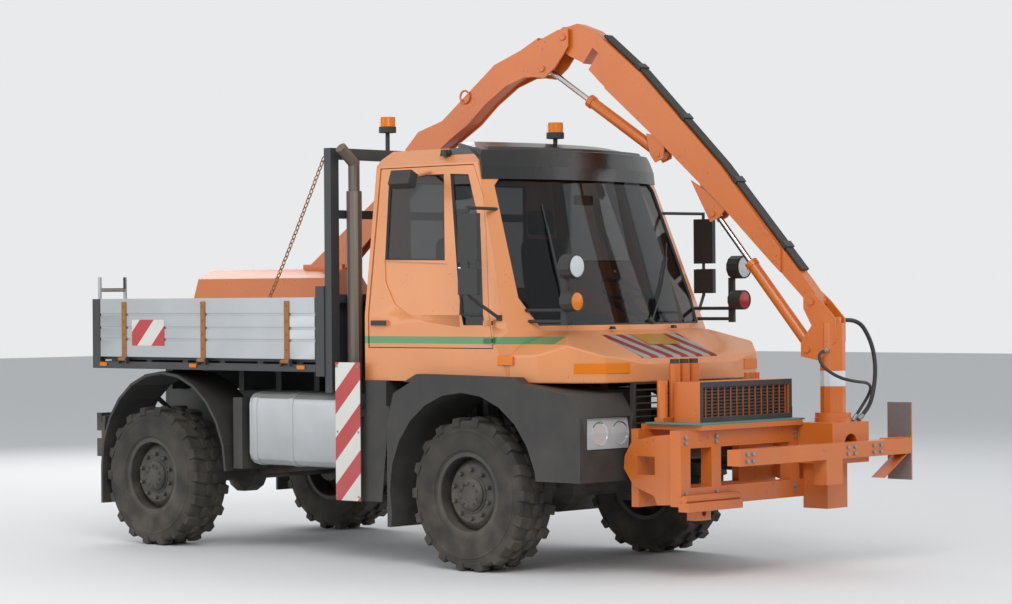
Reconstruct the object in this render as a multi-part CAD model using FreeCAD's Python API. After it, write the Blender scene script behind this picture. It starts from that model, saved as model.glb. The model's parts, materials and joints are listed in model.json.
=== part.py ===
import FreeCAD, Part
import math
import os

os.makedirs("parts", exist_ok=True)

# Municipal implement-carrier truck with a front mowing boom stowed over its cab.
# Millimetres. +X is the vehicle's left, +Y its rear, +Z up, ground at zero.
# The origin is on the ground, under the middle of the whole machine.
# A name that starts with a piece's name and ends in _d is a distance behind the front axle.

V = FreeCAD.Vector
UP = V(0, 0, 1)
LEFT = V(1, 0, 0)
REAR = V(0, 1, 0)
FULL_TURN = 360.0

# Overall layout
wheelbase = 3350.0
front_reach = 2060.0
rear_reach = 680.0
front_axle_y = (front_reach - wheelbase - rear_reach) / 2
rear_axle_y = front_axle_y + wheelbase
running_gap = 8.0
seat_gap = 0.3
pin_gap = 0.4
cut_over = 20.0
weld_bite = 5.0
plate_t = 8.0
pin_r = 22.0
pin_head = 14.0
small_r = 30.0
large_r = 90.0
corner_count = 3
wing_flat_count = 12

# Wheels
tyre_r = 530.0
tyre_w = 360.0
hub_z = tyre_r
track_half = 935.0
bead_r = 270.0
lug_rise = 24.0
tread_cap_r = tyre_r - lug_rise
shoulder_w = 15.0
tread_half = tyre_w / 2 - shoulder_w
flange_rise = 22.0
rim_r = bead_r + flange_rise
rim_w = 290.0
rim_wall = 12.0
stud_circle_r = 167.5
stud_r = 12.0
stud_out = 24.0
stud_count = 10
hub_r = 140.0
hub_out = 111.0
disc_wall = 14.0
disc_flat = 62.0
dish_depth = 70.0
hub_cap_r = 118.0
hub_cap_out = 40.0
hub_cap_share = 0.8
lug_w = 104.0
lug_count = 14
lug_cross_share = 0.10
lug_lean_share = 0.4
lug_slant_share = 0.55
wall_low_share = 0.35
wall_high_share = 0.62
rim_facet_count = 12
hub_face_x = track_half + hub_out

# Chassis
rail_x = 395.0
rail_w = 70.0
rail_bottom = 700.0
rail_top = 920.0
rail_front_d = -1180.0
rail_overhang = 560.0
rail_wall = 8.0
rail_out = rail_x + rail_w / 2
rail_web = rail_out - rail_wall
cross_r = 45.0
cross_inset = 60.0
cross_front_d = 1250.0
cross_rear_d = 2450.0
tail_beam_t = 60.0
tail_beam_drop = 40.0
jaw_half = 95.0
jaw_deep = 70.0
jaw_drop = 20.0
jaw_rise = 150.0
jaw_wall = 35.0
jaw_plate = 50.0
jaw_bore_r = 19.0
cab_mount_front_d = -600.0
cab_mount_rear_d = 860.0
cab_mount_half = 40.0

# Axles
axle_r = 75.0
diff_r = 165.0
diff_w = 300.0
diff_x = -120.0
diff_flat_share = 0.45
kingpin_x = 700.0
kingpin_r = 24.0
kingpin_half = 130.0
kingpin_out = 10.0
yoke_t = 36.0
yoke_half = 50.0
yoke_web = 60.0
knuckle_r = 92.0
sleeve_share = 0.62
neck_share = 0.65
neck_len = 80.0
steer_arm_w = 40.0
steer_arm_len = 190.0
steer_arm_t = 30.0
steer_arm_drop = 60.0
drum_share = 0.95
drum_w = 261.0
leaf_w = 70.0
leaf_t = 14.0
leaf_half = 520.0
leaf_count = 4
leaf_step_share = 0.2
leaf_drop = 20.0
spring_pad_half = 70.0
hanger_half = 30.0
spring_eye_z = rail_bottom - leaf_drop
drum_face_x = hub_face_x - disc_wall - seat_gap


def box(x0, x1, y0, y1, z0, z1):
    """A block between two corners."""
    return Part.makeBox(x1 - x0, y1 - y0, z1 - z0, V(x0, y0, z0))


def side_box(side, x0, x1, y0, y1, z0, z1):
    """A block on one side of the vehicle, its X given outwards from the middle."""
    near, far = sorted((side * x0, side * x1))
    return box(near, far, y0, y1, z0, z1)


def rod(a, b, r):
    """A truly round bar from a to b, kept for pins, bores and rams."""
    a, b = V(*a), V(*b)
    return Part.makeCylinder(r, (b - a).Length, a, b - a)


def sides_for(r):
    """How many flats stand for a round of this radius."""
    return 8 if r < small_r else 12 if r < large_r else 16


def bar(a, b, r):
    """A bar from a to b whose flats stand for a round one."""
    a, b = V(*a), V(*b)
    way = (b - a).normalize()
    across = LEFT if abs(way.x) < 0.7 else UP
    first = way.cross(across).normalize()
    second = way.cross(first)
    count = sides_for(r)
    swell = r / math.cos(math.pi / count)
    ring = []
    for n in range(count + 1):
        angle = 2 * math.pi * (n % count + 0.5) / count
        ring.append(a + first * (swell * math.cos(angle)) + second * (swell * math.sin(angle)))
    return Part.Face(Part.makePolygon(ring)).extrude(b - a)


def arc_points(centre, r, start, end, count):
    """Points on an arc in degrees, as pairs."""
    steps = [math.radians(start + (end - start) * n / count) for n in range(count + 1)]
    return [(centre[0] + r * math.cos(t), centre[1] + r * math.sin(t)) for t in steps]


def rounded(x0, x1, z0, z1, r):
    """A rectangle's outline with its corners rounded."""
    corners = [(x1 - r, z1 - r, 0), (x0 + r, z1 - r, 90), (x0 + r, z0 + r, 180), (x1 - r, z0 + r, 270)]
    return [point for x, z, turn in corners for point in arc_points((x, z), r, turn, turn + 90, corner_count)]


def side_prism(points, x0, x1):
    """An outline in (y, z), stretched along X."""
    wire = Part.makePolygon([V(x0, y, z) for y, z in points + points[:1]])
    return Part.Face(wire).extrude(V(x1 - x0, 0, 0))


def front_prism(points, y0, y1):
    """An outline in (x, z), stretched along Y."""
    wire = Part.makePolygon([V(x, y0, z) for x, z in points + points[:1]])
    return Part.Face(wire).extrude(V(0, y1 - y0, 0))


def plan_prism(points, z0, z1):
    """An outline in (x, y), stretched upwards."""
    wire = Part.makePolygon([V(x, y, z0) for x, y in points + points[:1]])
    return Part.Face(wire).extrude(V(0, 0, z1 - z0))


def even(points):
    """Half an outline from the middle outwards, with its mirror image added."""
    return points + [(-x, other) for x, other in reversed(points) if x]


def fuse(pieces):
    """One solid out of pieces that meet."""
    whole = pieces[0]
    if len(pieces) > 1:
        whole = whole.multiFuse(pieces[1:])
    return whole.removeSplitter()


def group(pieces):
    """Several solids of one kind kept in one sub-part."""
    solids = [solid for piece in pieces for solid in piece.Solids]
    return Part.makeCompound(solids)


def pair(shape):
    """A piece and its mirror image on the other side of the vehicle."""
    return [shape, shape.mirror(V(0, 0, 0), LEFT)]


def turned(shape, axis_point, axis, degrees):
    """A copy turned about an axis."""
    copy = shape.copy()
    copy.rotate(axis_point, axis, degrees)
    return copy


def axle_line(distance):
    """The Y of a point a distance behind the front axle."""
    return front_axle_y + distance


def from_axle(points):
    """An outline whose Y values are distances behind the front axle."""
    return [(axle_line(y), z) for y, z in points]


def spread(shares, origin, reach, rise):
    """Points given as shares of a reach and a rise from an origin."""
    return [(origin[0] + s * reach, origin[1] + t * rise) for s, t in shares]


def plates(points, outer, wall):
    """Two like plates, left and right of a plane."""
    return pair(side_prism(points, outer - wall, outer))


def facet_ring(points, centre, count):
    """A profile in (x, r) carried round a line along X in flats that touch its circles."""
    swell = 1 / math.cos(math.pi / count)
    rings = []
    for n in range(count):
        angle = 2 * math.pi * (n + 0.5) / count
        rings.append([V(centre[0] + x, centre[1] + swell * r * math.sin(angle),
                        centre[2] + swell * r * math.cos(angle)) for x, r in points])
    faces = []
    edges = [(k, (k + 1) % len(points)) for k in range(len(points))]
    for n in range(count):
        here, there = rings[n], rings[(n + 1) % count]
        for a, b in edges:
            corners = [here[a], here[b], there[b], there[a]]
            kept = [c for i, c in enumerate(corners) if (c - corners[i - 1]).Length > 1e-7]
            if len(kept) > 2:
                faces.append(Part.Face(Part.makePolygon(kept + kept[:1])))
    solid = Part.makeSolid(Part.makeShell(faces))
    return solid if solid.Volume > 0 else solid.reversed()


def ring_of(shape, count, centre):
    """Copies evenly turned about a line along X."""
    return [turned(shape, V(*centre), LEFT, FULL_TURN * n / count) for n in range(count)]


def lug(centre, side, phase):
    """One tread lug: a skewed block over a shoulder, seated on one facet of the tread."""
    inner = -side * tread_half * lug_cross_share
    outer = side * (tread_half + lug_rise * lug_lean_share)
    tip = lug_w / 2
    slant = tip * lug_slant_share
    foot = plan_prism([(inner, -slant), (outer, -tip), (outer, slant), (inner, tip)],
                      tread_cap_r - lug_rise, tyre_r)
    block = turned(foot, V(0, 0, 0), LEFT, phase)
    block.translate(V(*centre))
    return block


def tyre(side, y):
    """A carcass with two staggered rows of chunky lugs."""
    centre = (side * track_half, y, hub_z)
    half = tyre_w / 2
    seat = rim_w / 2 - seat_gap
    wall = tread_cap_r - bead_r
    low, high = bead_r + wall * wall_low_share, bead_r + wall * wall_high_share
    profile = [(-seat, bead_r), (-half, low), (-half, high), (-tread_half, tread_cap_r),
               (tread_half, tread_cap_r), (half, high), (half, low), (seat, bead_r)]
    carcass = facet_ring(profile, centre, 2 * lug_count)
    step = FULL_TURN / lug_count
    rows = [lug(centre, 1, n * step) for n in range(lug_count)]
    rows += [lug(centre, -1, (n + 0.5) * step) for n in range(lug_count)]
    return fuse([carcass] + rows)


def rim(side, y):
    """A wheel: a flanged rim, a dished disc, the hub's round cap and the studs."""
    centre = (side * track_half, y, hub_z)
    half = rim_w / 2
    low = bead_r - rim_wall
    band = facet_ring([(-half - rim_wall, rim_r), (-half - rim_wall, low), (half + rim_wall, low),
                       (half + rim_wall, rim_r), (half, bead_r - seat_gap), (-half, bead_r - seat_gap)],
                      centre, 2 * lug_count)
    dish = hub_out - dish_depth
    back = hub_out - disc_wall
    knee = hub_r + disc_flat
    seat_r = low + rim_wall / 3
    disc = facet_ring([(side * hub_out, 0), (side * hub_out, knee), (side * dish, seat_r),
                       (side * (dish - disc_wall), seat_r), (side * back, knee - disc_wall),
                       (side * back, 0)], centre, lug_count)
    face_x = centre[0] + side * hub_out
    root_x = face_x - side * disc_wall / 2
    cap = Part.makeCone(hub_cap_r, hub_cap_r * hub_cap_share, disc_wall / 2 + hub_cap_out,
                        V(root_x, y, hub_z), V(side, 0, 0))
    stud = bar((root_x, y, hub_z + stud_circle_r), (face_x + side * stud_out, y, hub_z + stud_circle_r), stud_r)
    return fuse([band, disc, cap] + ring_of(stud, stud_count, centre))


def knuckle(side):
    """A steering knuckle: kingpin with its sleeve, drum, neck and steering arm."""
    y = front_axle_y
    x = side * kingpin_x
    neck_x = side * (kingpin_x + neck_len)
    tall = kingpin_half - yoke_t - seat_gap
    pin_end = kingpin_half + kingpin_out
    sleeve = bar((x, y, hub_z - tall), (x, y, hub_z + tall), knuckle_r * sleeve_share)
    pin = rod((x, y, hub_z - pin_end), (x, y, hub_z + pin_end), kingpin_r)
    drum = bar((neck_x, y, hub_z), (side * drum_face_x, y, hub_z), hub_r * drum_share)
    neck = bar((x, y, hub_z), (neck_x + side * weld_bite, y, hub_z), knuckle_r * neck_share)
    low = hub_z - steer_arm_drop
    arm = box(x - steer_arm_w / 2, x + steer_arm_w / 2, y, y + steer_arm_len, low, low + steer_arm_t)
    return fuse([sleeve, pin, drum, neck, arm])


def diff_housing(y):
    """The differential's round casing on an axle."""
    half = diff_w / 2
    flat = half * diff_flat_share
    outline = [(-half, 0), (-half, axle_r), (-flat, diff_r), (flat, diff_r), (half, axle_r), (half, 0)]
    return facet_ring(outline, (diff_x, y, hub_z), rim_facet_count)


def leaf_springs(y):
    """A stack of leaves under each rail, tied to the axle by its pad."""
    pieces = []
    for side in (-1, 1):
        x0, x1 = side * rail_x - leaf_w / 2, side * rail_x + leaf_w / 2
        for n in range(leaf_count):
            half = leaf_half * (1 - leaf_step_share * n)
            top = spring_eye_z - n * leaf_t
            pieces.append(box(x0, x1, y - half, y + half, top - leaf_t, top))
        low = spring_eye_z - leaf_count * leaf_t
        pieces.append(box(x0, x1, y - spring_pad_half, y + spring_pad_half, hub_z, low))
        for end in (-1, 1):
            eye_y = y + end * (leaf_half - leaf_t)
            pieces.append(bar((x0, eye_y, spring_eye_z), (x1, eye_y, spring_eye_z), leaf_t))
    return pieces


def front_axle():
    """The driven front beam, with its kingpin yokes and leaf springs."""
    y = front_axle_y
    inner = kingpin_x - knuckle_r
    root = inner - yoke_web
    low, high = hub_z - kingpin_half, hub_z + kingpin_half
    pieces = [bar((-inner, y, hub_z), (inner, y, hub_z), axle_r), diff_housing(y)]
    for side in (-1, 1):
        for z0, z1 in ((low, low + yoke_t), (high - yoke_t, high)):
            pieces.append(side_box(side, root, kingpin_x + yoke_half, y - yoke_half, y + yoke_half, z0, z1))
        pieces.append(side_box(side, root, inner, y - yoke_half, y + yoke_half, low, high))
    axle = fuse(pieces + leaf_springs(y))
    for side in (-1, 1):
        x = side * kingpin_x
        axle = axle.cut(rod((x, y, low - cut_over), (x, y, high + cut_over), kingpin_r + pin_gap))
    return axle


def rear_axle():
    """The driven rear beam with its hubs' carriers and leaf springs."""
    y = rear_axle_y
    inner = drum_face_x - drum_w
    beam = bar((-inner - weld_bite, y, hub_z), (inner + weld_bite, y, hub_z), axle_r)
    drums = [bar((side * inner, y, hub_z), (side * drum_face_x, y, hub_z), hub_r * drum_share)
             for side in (-1, 1)]
    return fuse([beam, diff_housing(y)] + drums + leaf_springs(y))


def channel_rail(side, y0, y1):
    """One chassis rail, a channel that opens inwards."""
    rail = side_box(side, rail_out - rail_w, rail_out, y0, y1, rail_bottom, rail_top)
    return rail.cut(side_box(side, rail_out - rail_w - cut_over, rail_web, y0 - cut_over, y1 + cut_over,
                             rail_bottom + rail_wall, rail_top - rail_wall))


def towing_jaw(y):
    """The rear towing jaw with the bore for its pin."""
    low = rail_bottom - jaw_drop
    jaw = box(-jaw_half, jaw_half, y, y + jaw_deep, low, rail_bottom + jaw_rise)
    jaw = jaw.cut(box(-jaw_half + jaw_wall, jaw_half - jaw_wall, y + cut_over, y + jaw_deep + cut_over,
                      low + jaw_plate, rail_bottom + jaw_rise - jaw_plate))
    pin_y = y + (jaw_deep + cut_over) / 2
    return jaw.cut(rod((0, pin_y, low - cut_over), (0, pin_y, rail_bottom + jaw_rise + cut_over), jaw_bore_r))


def chassis_frame():
    """Two rails with hangers and cab mounts, the cross tubes between them, and the tail beam with its jaw."""
    y0, y1 = axle_line(rail_front_d), rear_axle_y + rail_overhang
    solids = []
    for side in (-1, 1):
        pieces = [channel_rail(side, y0, y1 - cut_over - seat_gap)]
        in_x, out_x = rail_x - rail_w / 2, rail_out
        for y in (front_axle_y, rear_axle_y):
            for end in (-1, 1):
                eye_y = y + end * (leaf_half - leaf_t)
                pieces.append(side_box(side, in_x, out_x, eye_y - hanger_half, eye_y + hanger_half,
                                       spring_eye_z + leaf_t + seat_gap, rail_bottom + rail_wall))
        for d in (cab_mount_front_d, cab_mount_rear_d):
            y, half = axle_line(d), cab_mount_half
            pieces.append(side_box(side, rail_x - half, rail_x + half, y - half, y + half,
                                   rail_top - weld_bite, cab_bottom))
        solids.append(fuse(pieces))
    z = (rail_bottom + rail_top) / 2
    reach = rail_web - seat_gap
    for y in (y0 + cross_inset, axle_line(cross_front_d), axle_line(cross_rear_d), y1 - cross_inset):
        solids.append(bar((-reach, y, z), (reach, y, z), cross_r))
    beam = box(-rail_out, rail_out, y1 - cut_over, y1 - cut_over + tail_beam_t,
               rail_bottom - tail_beam_drop, rail_top)
    return group(solids + [fuse([beam, towing_jaw(y1 - cut_over + tail_beam_t)])])


# Engine and driveline
engine_half = 300.0
engine_front_d = -480.0
engine_rear_d = 420.0
engine_low = 760.0
engine_top = 1230.0
bell_half = 190.0
bell_rear_d = 960.0
bell_low = 660.0
bell_top = 960.0
shaft_r = 42.0
shaft_bite = 60.0
shaft_rear_z = 740.0
shaft_front_z = 720.0
diff_clear_share = 1.04
engine_mount_low = 780.0
engine_mount_t = 50.0
engine_mount_half = 40.0


def shaft(start, y):
    """A propeller shaft from the gearbox to just short of a differential."""
    start, end = V(*start), V(diff_x, y, hub_z)
    way = (end - start).normalize()
    return bar(start, end - way * (diff_r * diff_clear_share + seat_gap), shaft_r)


def engine_and_driveline():
    """One plain block for the engine, the transfer box and the shafts."""
    front, middle, back = axle_line(engine_front_d), axle_line(engine_rear_d), axle_line(bell_rear_d)
    engine = box(-engine_half, engine_half, front, middle, engine_low, engine_top)
    bell = box(-bell_half, bell_half, middle, back, bell_low, bell_top)
    rear = shaft((diff_x, back - shaft_bite, shaft_rear_z), rear_axle_y)
    ahead = shaft((diff_x, middle + shaft_bite, shaft_front_z), front_axle_y)
    mounts = [box(-rail_web, rail_web, y - engine_mount_half, y + engine_mount_half,
                  engine_mount_low, engine_mount_low + engine_mount_t)
              for y in (front + 2 * engine_mount_half, back - 4 * engine_mount_half)]
    return fuse([engine, bell, rear, ahead] + mounts)


# Cab
cab_half = 1060.0
cab_rear_d = 1030.0
cab_bottom = 1300.0
cab_top = 2930.0
waist_z = 1760.0
tumblehome = 145.0
roof_half = cab_half - tumblehome
cab_wall = 36.0
roof_round = 110.0
roof_rear_round = 60.0
rear_lean = 18.0
nose_d = -1100.0
screen_base_d = -660.0
screen_base_z = 1650.0
screen_slope_share = 0.42
screen_bow_r = 2040.0
bow_flat_count = 9
pillar_w = 205.0
screen_half = cab_half - pillar_w
screen_low_z = screen_base_z + 35.0
screen_top_z = 2715.0
screen_flare = 75.0
screen_flare_rise = 190.0
screen_corner = 60.0
screen_window_rear_d = 40.0
rear_window_half = 620.0
rear_window_z = waist_z + 180.0
rear_window_deep = 190.0

# Doors
door_rear_d = 984.0
door_front_d = -216.0
door_bottom = 1535.0
door_top = 2800.0
door_gap = 6.0
door_swing_room = 9.0
glass_t = 6.0
recess_deep = 8.0
handle_d = 870.0
handle_z = 1705.0
handle_half_len = 80.0
handle_half = 18.0
handle_out = 22.0
door_hinge_out = 12.0
door_hinge_ahead = 12.0
door_hinge_r = 10.0
door_hinge_h = 30.0
door_hinge_zs = (1570.0, 1690.0)
door_hinge_reach = 90.0
door_hinge_lap = 46.0
door_shares = [(0, 0), (0.103, 0.605), (0.155, 0.826), (0.254, 1), (1.007, 1), (1, 0)]
main_window_shares = [(0.910, 0.486), (0.416, 0.478), (0.486, 0.9565), (0.938, 0.9565)]
quarter_window_shares = [(0.434, 0.9565), (0.288, 0.949), (0.153, 0.652), (0.0625, 0.1225), (0.230, 0.1225),
                         (0.287, 0.320)]
recess_shares = [(0.914, 0.482), (0.889, 0.36), (0.7985, 0.240), (0.671, 0.178), (0.522, 0.1407),
                 (0.2566, 0.1123), (0.27, 0.30), (0.40, 0.46)]


def screen_plan(inset):
    """The cab's plan at the windscreen's foot, bowed in front, with its Y at the front axle."""
    bow = screen_bow_r - inset
    centre_y = axle_line(screen_base_d) + screen_bow_r
    half = cab_half + cut_over
    swing = math.degrees(math.asin(half / bow))
    front = arc_points((0, centre_y), bow, 270 - swing, 270 + swing, bow_flat_count)
    deep = axle_line(cab_rear_d) + cab_top
    return front + [(half, deep), (-half, deep)]


def cab_solid(inset):
    """The cab's outer form, or its inside when inset by the wall."""
    points = [V(x, y, screen_base_z) for x, y in screen_plan(inset)]
    plan = Part.Face(Part.makePolygon(points + points[:1]))
    tall = cab_top - screen_base_z
    low, top = cab_bottom + inset, cab_top - inset
    body = plan.extrude(V(0, tall * screen_slope_share, tall)).fuse(plan.extrude(V(0, 0, low - screen_base_z)))
    back = cab_rear_d - inset
    half = cab_half + cut_over
    side = from_axle([(nose_d, low), (back, low), (back, waist_z), (back + rear_lean, top - roof_rear_round),
                      (back + rear_lean - roof_rear_round, top), (nose_d, top)])
    body = body.common(side_prism(side, -half, half))
    w, r = cab_half - inset, roof_half - inset
    front = [(-w, low), (w, low), (w, waist_z), (r, top - roof_round), (r - roof_round, top),
             (-r + roof_round, top), (-r, top - roof_round), (-w, waist_z)]
    return body.common(front_prism(front, axle_line(nose_d), axle_line(cab_rear_d + rear_lean) + cut_over))


def screen_window():
    """A cutter through the windscreen's opening."""
    low, high, half = screen_low_z, screen_top_z, screen_half
    wide, corner = half + screen_flare, screen_corner
    points = [(-half, low), (half, low), (wide, low + screen_flare_rise), (half, high - corner),
              (half - corner, high), (-half + corner, high), (-half, high - corner),
              (-wide, low + screen_flare_rise)]
    return front_prism(points, axle_line(nose_d), axle_line(screen_window_rear_d))


def rear_window():
    """A cutter through the rear window's opening."""
    y = axle_line(cab_rear_d)
    return box(-rear_window_half, rear_window_half, y - rear_window_deep, y + cut_over + rear_lean,
               rear_window_z, screen_top_z)


def cab_skin():
    """The cab's closed shell, hollow inside."""
    return cab_solid(0.0).cut(cab_solid(cab_wall))


def side_cutter(side, points):
    """An outline in (y, z) stretched through one side wall of the cab."""
    near, far = sorted((side * (roof_half - pillar_w), side * (cab_half + cut_over)))
    return side_prism(points, near, far)


def door_points(shares, grow=0.0, swing_room=0.0):
    """Shares of the door's size as points, with the whole door grown by a gap if asked."""
    reach = door_rear_d - door_front_d + 2 * grow + swing_room
    origin = (axle_line(door_front_d) - grow, door_bottom - grow)
    return spread(shares, origin, reach, door_top - door_bottom + 2 * grow)


def door_hinge_lugs(side):
    """The lugs on the front pillar that hold the barrels of a door's hinges."""
    r, y = door_hinge_r, axle_line(door_front_d - door_hinge_ahead)
    axis_x = cab_half + door_hinge_out
    lugs = []
    for z in door_hinge_zs:
        for low in (z - seat_gap - plate_t, z + door_hinge_h + seat_gap):
            lugs.append(side_box(side, cab_half - weld_bite, axis_x + r, y - r, y + r, low, low + plate_t))
    return lugs


def door_hinge_straps(side):
    """A door's hinge barrels, each on a strap that is welded to the door's face."""
    y = axle_line(door_front_d - door_hinge_ahead)
    axis_x = cab_half + door_hinge_out
    pieces = []
    for z in door_hinge_zs:
        top = z + door_hinge_h
        pieces.append(bar((side * axis_x, y, z), (side * axis_x, y, top), door_hinge_r))
        pieces.append(side_box(side, axis_x - plate_t, axis_x, y, y + door_hinge_lap + weld_bite, z, top))
        pieces.append(side_box(side, cab_half - seat_gap, axis_x, y + door_hinge_lap, y + door_hinge_reach, z, top))
    return pieces


def cab_shell():
    """Floor, roof, pillars and back wall, with the openings cut."""
    shell = cab_skin().cut(screen_window()).cut(rear_window())
    for side in (-1, 1):
        shell = shell.cut(side_cutter(side, door_points(door_shares, door_gap, door_swing_room)))
    return fuse([shell] + door_hinge_lugs(-1) + door_hinge_lugs(1))


def glass_layer():
    """A thin layer in the middle of the cab's wall."""
    middle = (cab_wall - glass_t) / 2
    return cab_solid(middle).cut(cab_solid(middle + glass_t))


def cab_glass():
    """The windscreen and the rear window."""
    layer = glass_layer()
    return group([layer.common(screen_window()), layer.common(rear_window())])


# Kerb mirror over the kerb-side door
kerb_stem_share = 0.60
kerb_stem_r = 11.0
kerb_out = 150.0
kerb_drop = 30.0
kerb_w = 200.0
kerb_h = 130.0
kerb_t = 34.0


def kerb_mirror(side):
    """The mirror that looks down on the kerb, on a stem from the door's top frame."""
    y = axle_line(door_front_d + (door_rear_d - door_front_d) * kerb_stem_share)
    root_x = roof_half - cab_wall
    z = door_top - kerb_drop
    tip_x = cab_half + kerb_out
    stem = bar((side * root_x, y, z), (side * tip_x, y, z - kerb_h / 2), kerb_stem_r)
    near, far = tip_x - kerb_t, tip_x + kerb_t
    low = z - kerb_h
    head = front_prism([(side * near, low), (side * far, low + kerb_t), (side * (far - kerb_t), z),
                        (side * (near - kerb_t), z - kerb_t)], y - kerb_w / 2, y + kerb_w / 2)
    return [stem.cut(cab_solid(cab_wall / 2)), head]


def door(side):
    """A door with its frame, a pressed lower panel, two window openings and a handle."""
    leaf = cab_skin().common(side_cutter(side, door_points(door_shares)))
    for shares in (main_window_shares, quarter_window_shares):
        leaf = leaf.cut(side_cutter(side, door_points(shares)))
    leaf = leaf.cut(side_cutter(side, door_points(recess_shares)).cut(cab_solid(recess_deep)))
    y, z = axle_line(handle_d), handle_z
    handle = side_box(side, cab_half - recess_deep - weld_bite, cab_half + handle_out,
                      y - handle_half_len, y + handle_half_len, z - handle_half, z + handle_half)
    pieces = [leaf, handle] + door_hinge_straps(side)
    if side < 0:
        pieces += kerb_mirror(side)
    return fuse(pieces)


def door_glass(side):
    """The door's two panes, seated in the middle of its frame."""
    layer = glass_layer()
    return group([layer.common(side_cutter(side, door_points(shares)))
                  for shares in (main_window_shares, quarter_window_shares)])


# Bonnet, front wings, grille and lamps
bonnet_rear_d = -340.0
bonnet_tip_rise = 30.0
bonnet_lip_z = 1430.0
bonnet_lip_back = 8.0
bonnet_brow_z = 1475.0
bonnet_brow_back = 60.0
bonnet_top_z = 1640.0
bonnet_top_d = -640.0
bonnet_side_z = 1480.0
bonnet_shoulder_z = 1660.0
bonnet_plan_shares = [(0, 0), (0.47, 0.013), (0.774, 0.105), (0.925, 0.316), (0.991, 0.632), (1, 1)]
bonnet_front_shares = [(0.66, 1), (0.755, 0.917), (0.925, 0.722), (1, 0.5), (1, 0)]
turn_lamp_in = 620.0
turn_lamp_out = 970.0
turn_lamp_low = 1365.0
turn_lamp_h = 70.0
lamp_lens_t = 6.0
indicator_front_d = -410.0
indicator_rear_d = -270.0
indicator_low = 1420.0
indicator_h = 60.0
fender_in = 600.0
fender_out = 1150.0
fender_arch_r = 700.0
fender_tip_d = -1080.0
fender_tip_z = 650.0
fender_rear_d = 725.0
fender_flap_t = 35.0
fender_flap_z = 275.0
fender_wing_top = 1357.0
fender_front_top = 1343.0
headlamp_in = 640.0
headlamp_out = 1080.0
headlamp_low = 860.0
headlamp_high = 1080.0
headlamp_deep = 80.0
headlamp_bulge = 10.0
grille_low = 930.0
grille_high = 1298.0
grille_front_d = -1085.0
grille_rear_d = -1045.0
grille_post_w = 24.0
grille_slat_t = 10.0
grille_slat_w = 26.0
grille_slat_count = 9


def bonnet_form(grow):
    """The short nose under the windscreen: a side profile trimmed by a plan and a front outline."""
    front = nose_d - grow
    side = from_axle([(front + bonnet_lip_back, cab_bottom), (front, cab_bottom + bonnet_tip_rise),
                      (front + bonnet_lip_back, bonnet_lip_z), (front + bonnet_brow_back, bonnet_brow_z),
                      (bonnet_top_d, bonnet_top_z), (bonnet_rear_d, bonnet_shoulder_z),
                      (bonnet_rear_d, cab_bottom)])
    half = cab_half
    nose = side_prism(side, -half, half)
    plan = [(s * half, axle_line(front + t * (bonnet_rear_d - front))) for s, t in bonnet_plan_shares]
    nose = nose.common(plan_prism(even(plan), cab_bottom, bonnet_shoulder_z))
    rise = bonnet_shoulder_z - cab_bottom
    ends = [(s * half, cab_bottom + t * rise) for s, t in bonnet_front_shares]
    return nose.common(front_prism(even(ends), axle_line(front), axle_line(bonnet_rear_d)))


def bonnet():
    """The nose, cut to seat on the cab."""
    return bonnet_form(0.0).cut(cab_solid(-seat_gap)).removeSplitter()


def turn_lamps():
    """Turn lamps that follow the bonnet's corners, a lens's thickness in front of its skin."""
    skin = bonnet_form(lamp_lens_t + seat_gap).cut(bonnet_form(seat_gap)).cut(cab_solid(-seat_gap))
    top = turn_lamp_low + turn_lamp_h
    return [skin.common(side_box(side, turn_lamp_in, turn_lamp_out, axle_line(nose_d) - cut_over,
                                 axle_line(screen_base_d), turn_lamp_low, top)) for side in (-1, 1)]


def front_lamps():
    """Headlamps in their surrounds, turn lamps on the bonnet's corners and side indicators."""
    pieces = turn_lamps()
    back = fender_tip_d + headlamp_deep
    middle = (headlamp_low + headlamp_high) / 2
    for side in (-1, 1):
        near, far = sorted((side * (headlamp_in + lamp_lens_t), side * (headlamp_out - lamp_lens_t)))
        low, high = headlamp_low + lamp_lens_t, headlamp_high - lamp_lens_t
        lens = from_axle([(back - seat_gap, low), (fender_tip_d + headlamp_bulge, low), (fender_tip_d, middle),
                          (fender_tip_d + 2 * headlamp_bulge, high), (back - seat_gap, high)])
        pieces.append(side_prism(lens, near, far))
        pieces.append(side_box(side, cab_half + seat_gap, cab_half + seat_gap + 2 * lamp_lens_t,
                               axle_line(indicator_front_d), axle_line(indicator_rear_d),
                               indicator_low, indicator_low + indicator_h))
    return group(pieces)


fender_outline_shares = [(0, 0), (-0.003, 0.662), (0.055, 0.892), (0.288, 1), (0.864, 1), (0.964, 0.869),
                         (1, 0.538)]
fender_lip_shares = [(0.288, 0), (0.321, 0.8), (0.837, 1), (0.909, 0)]


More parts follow.
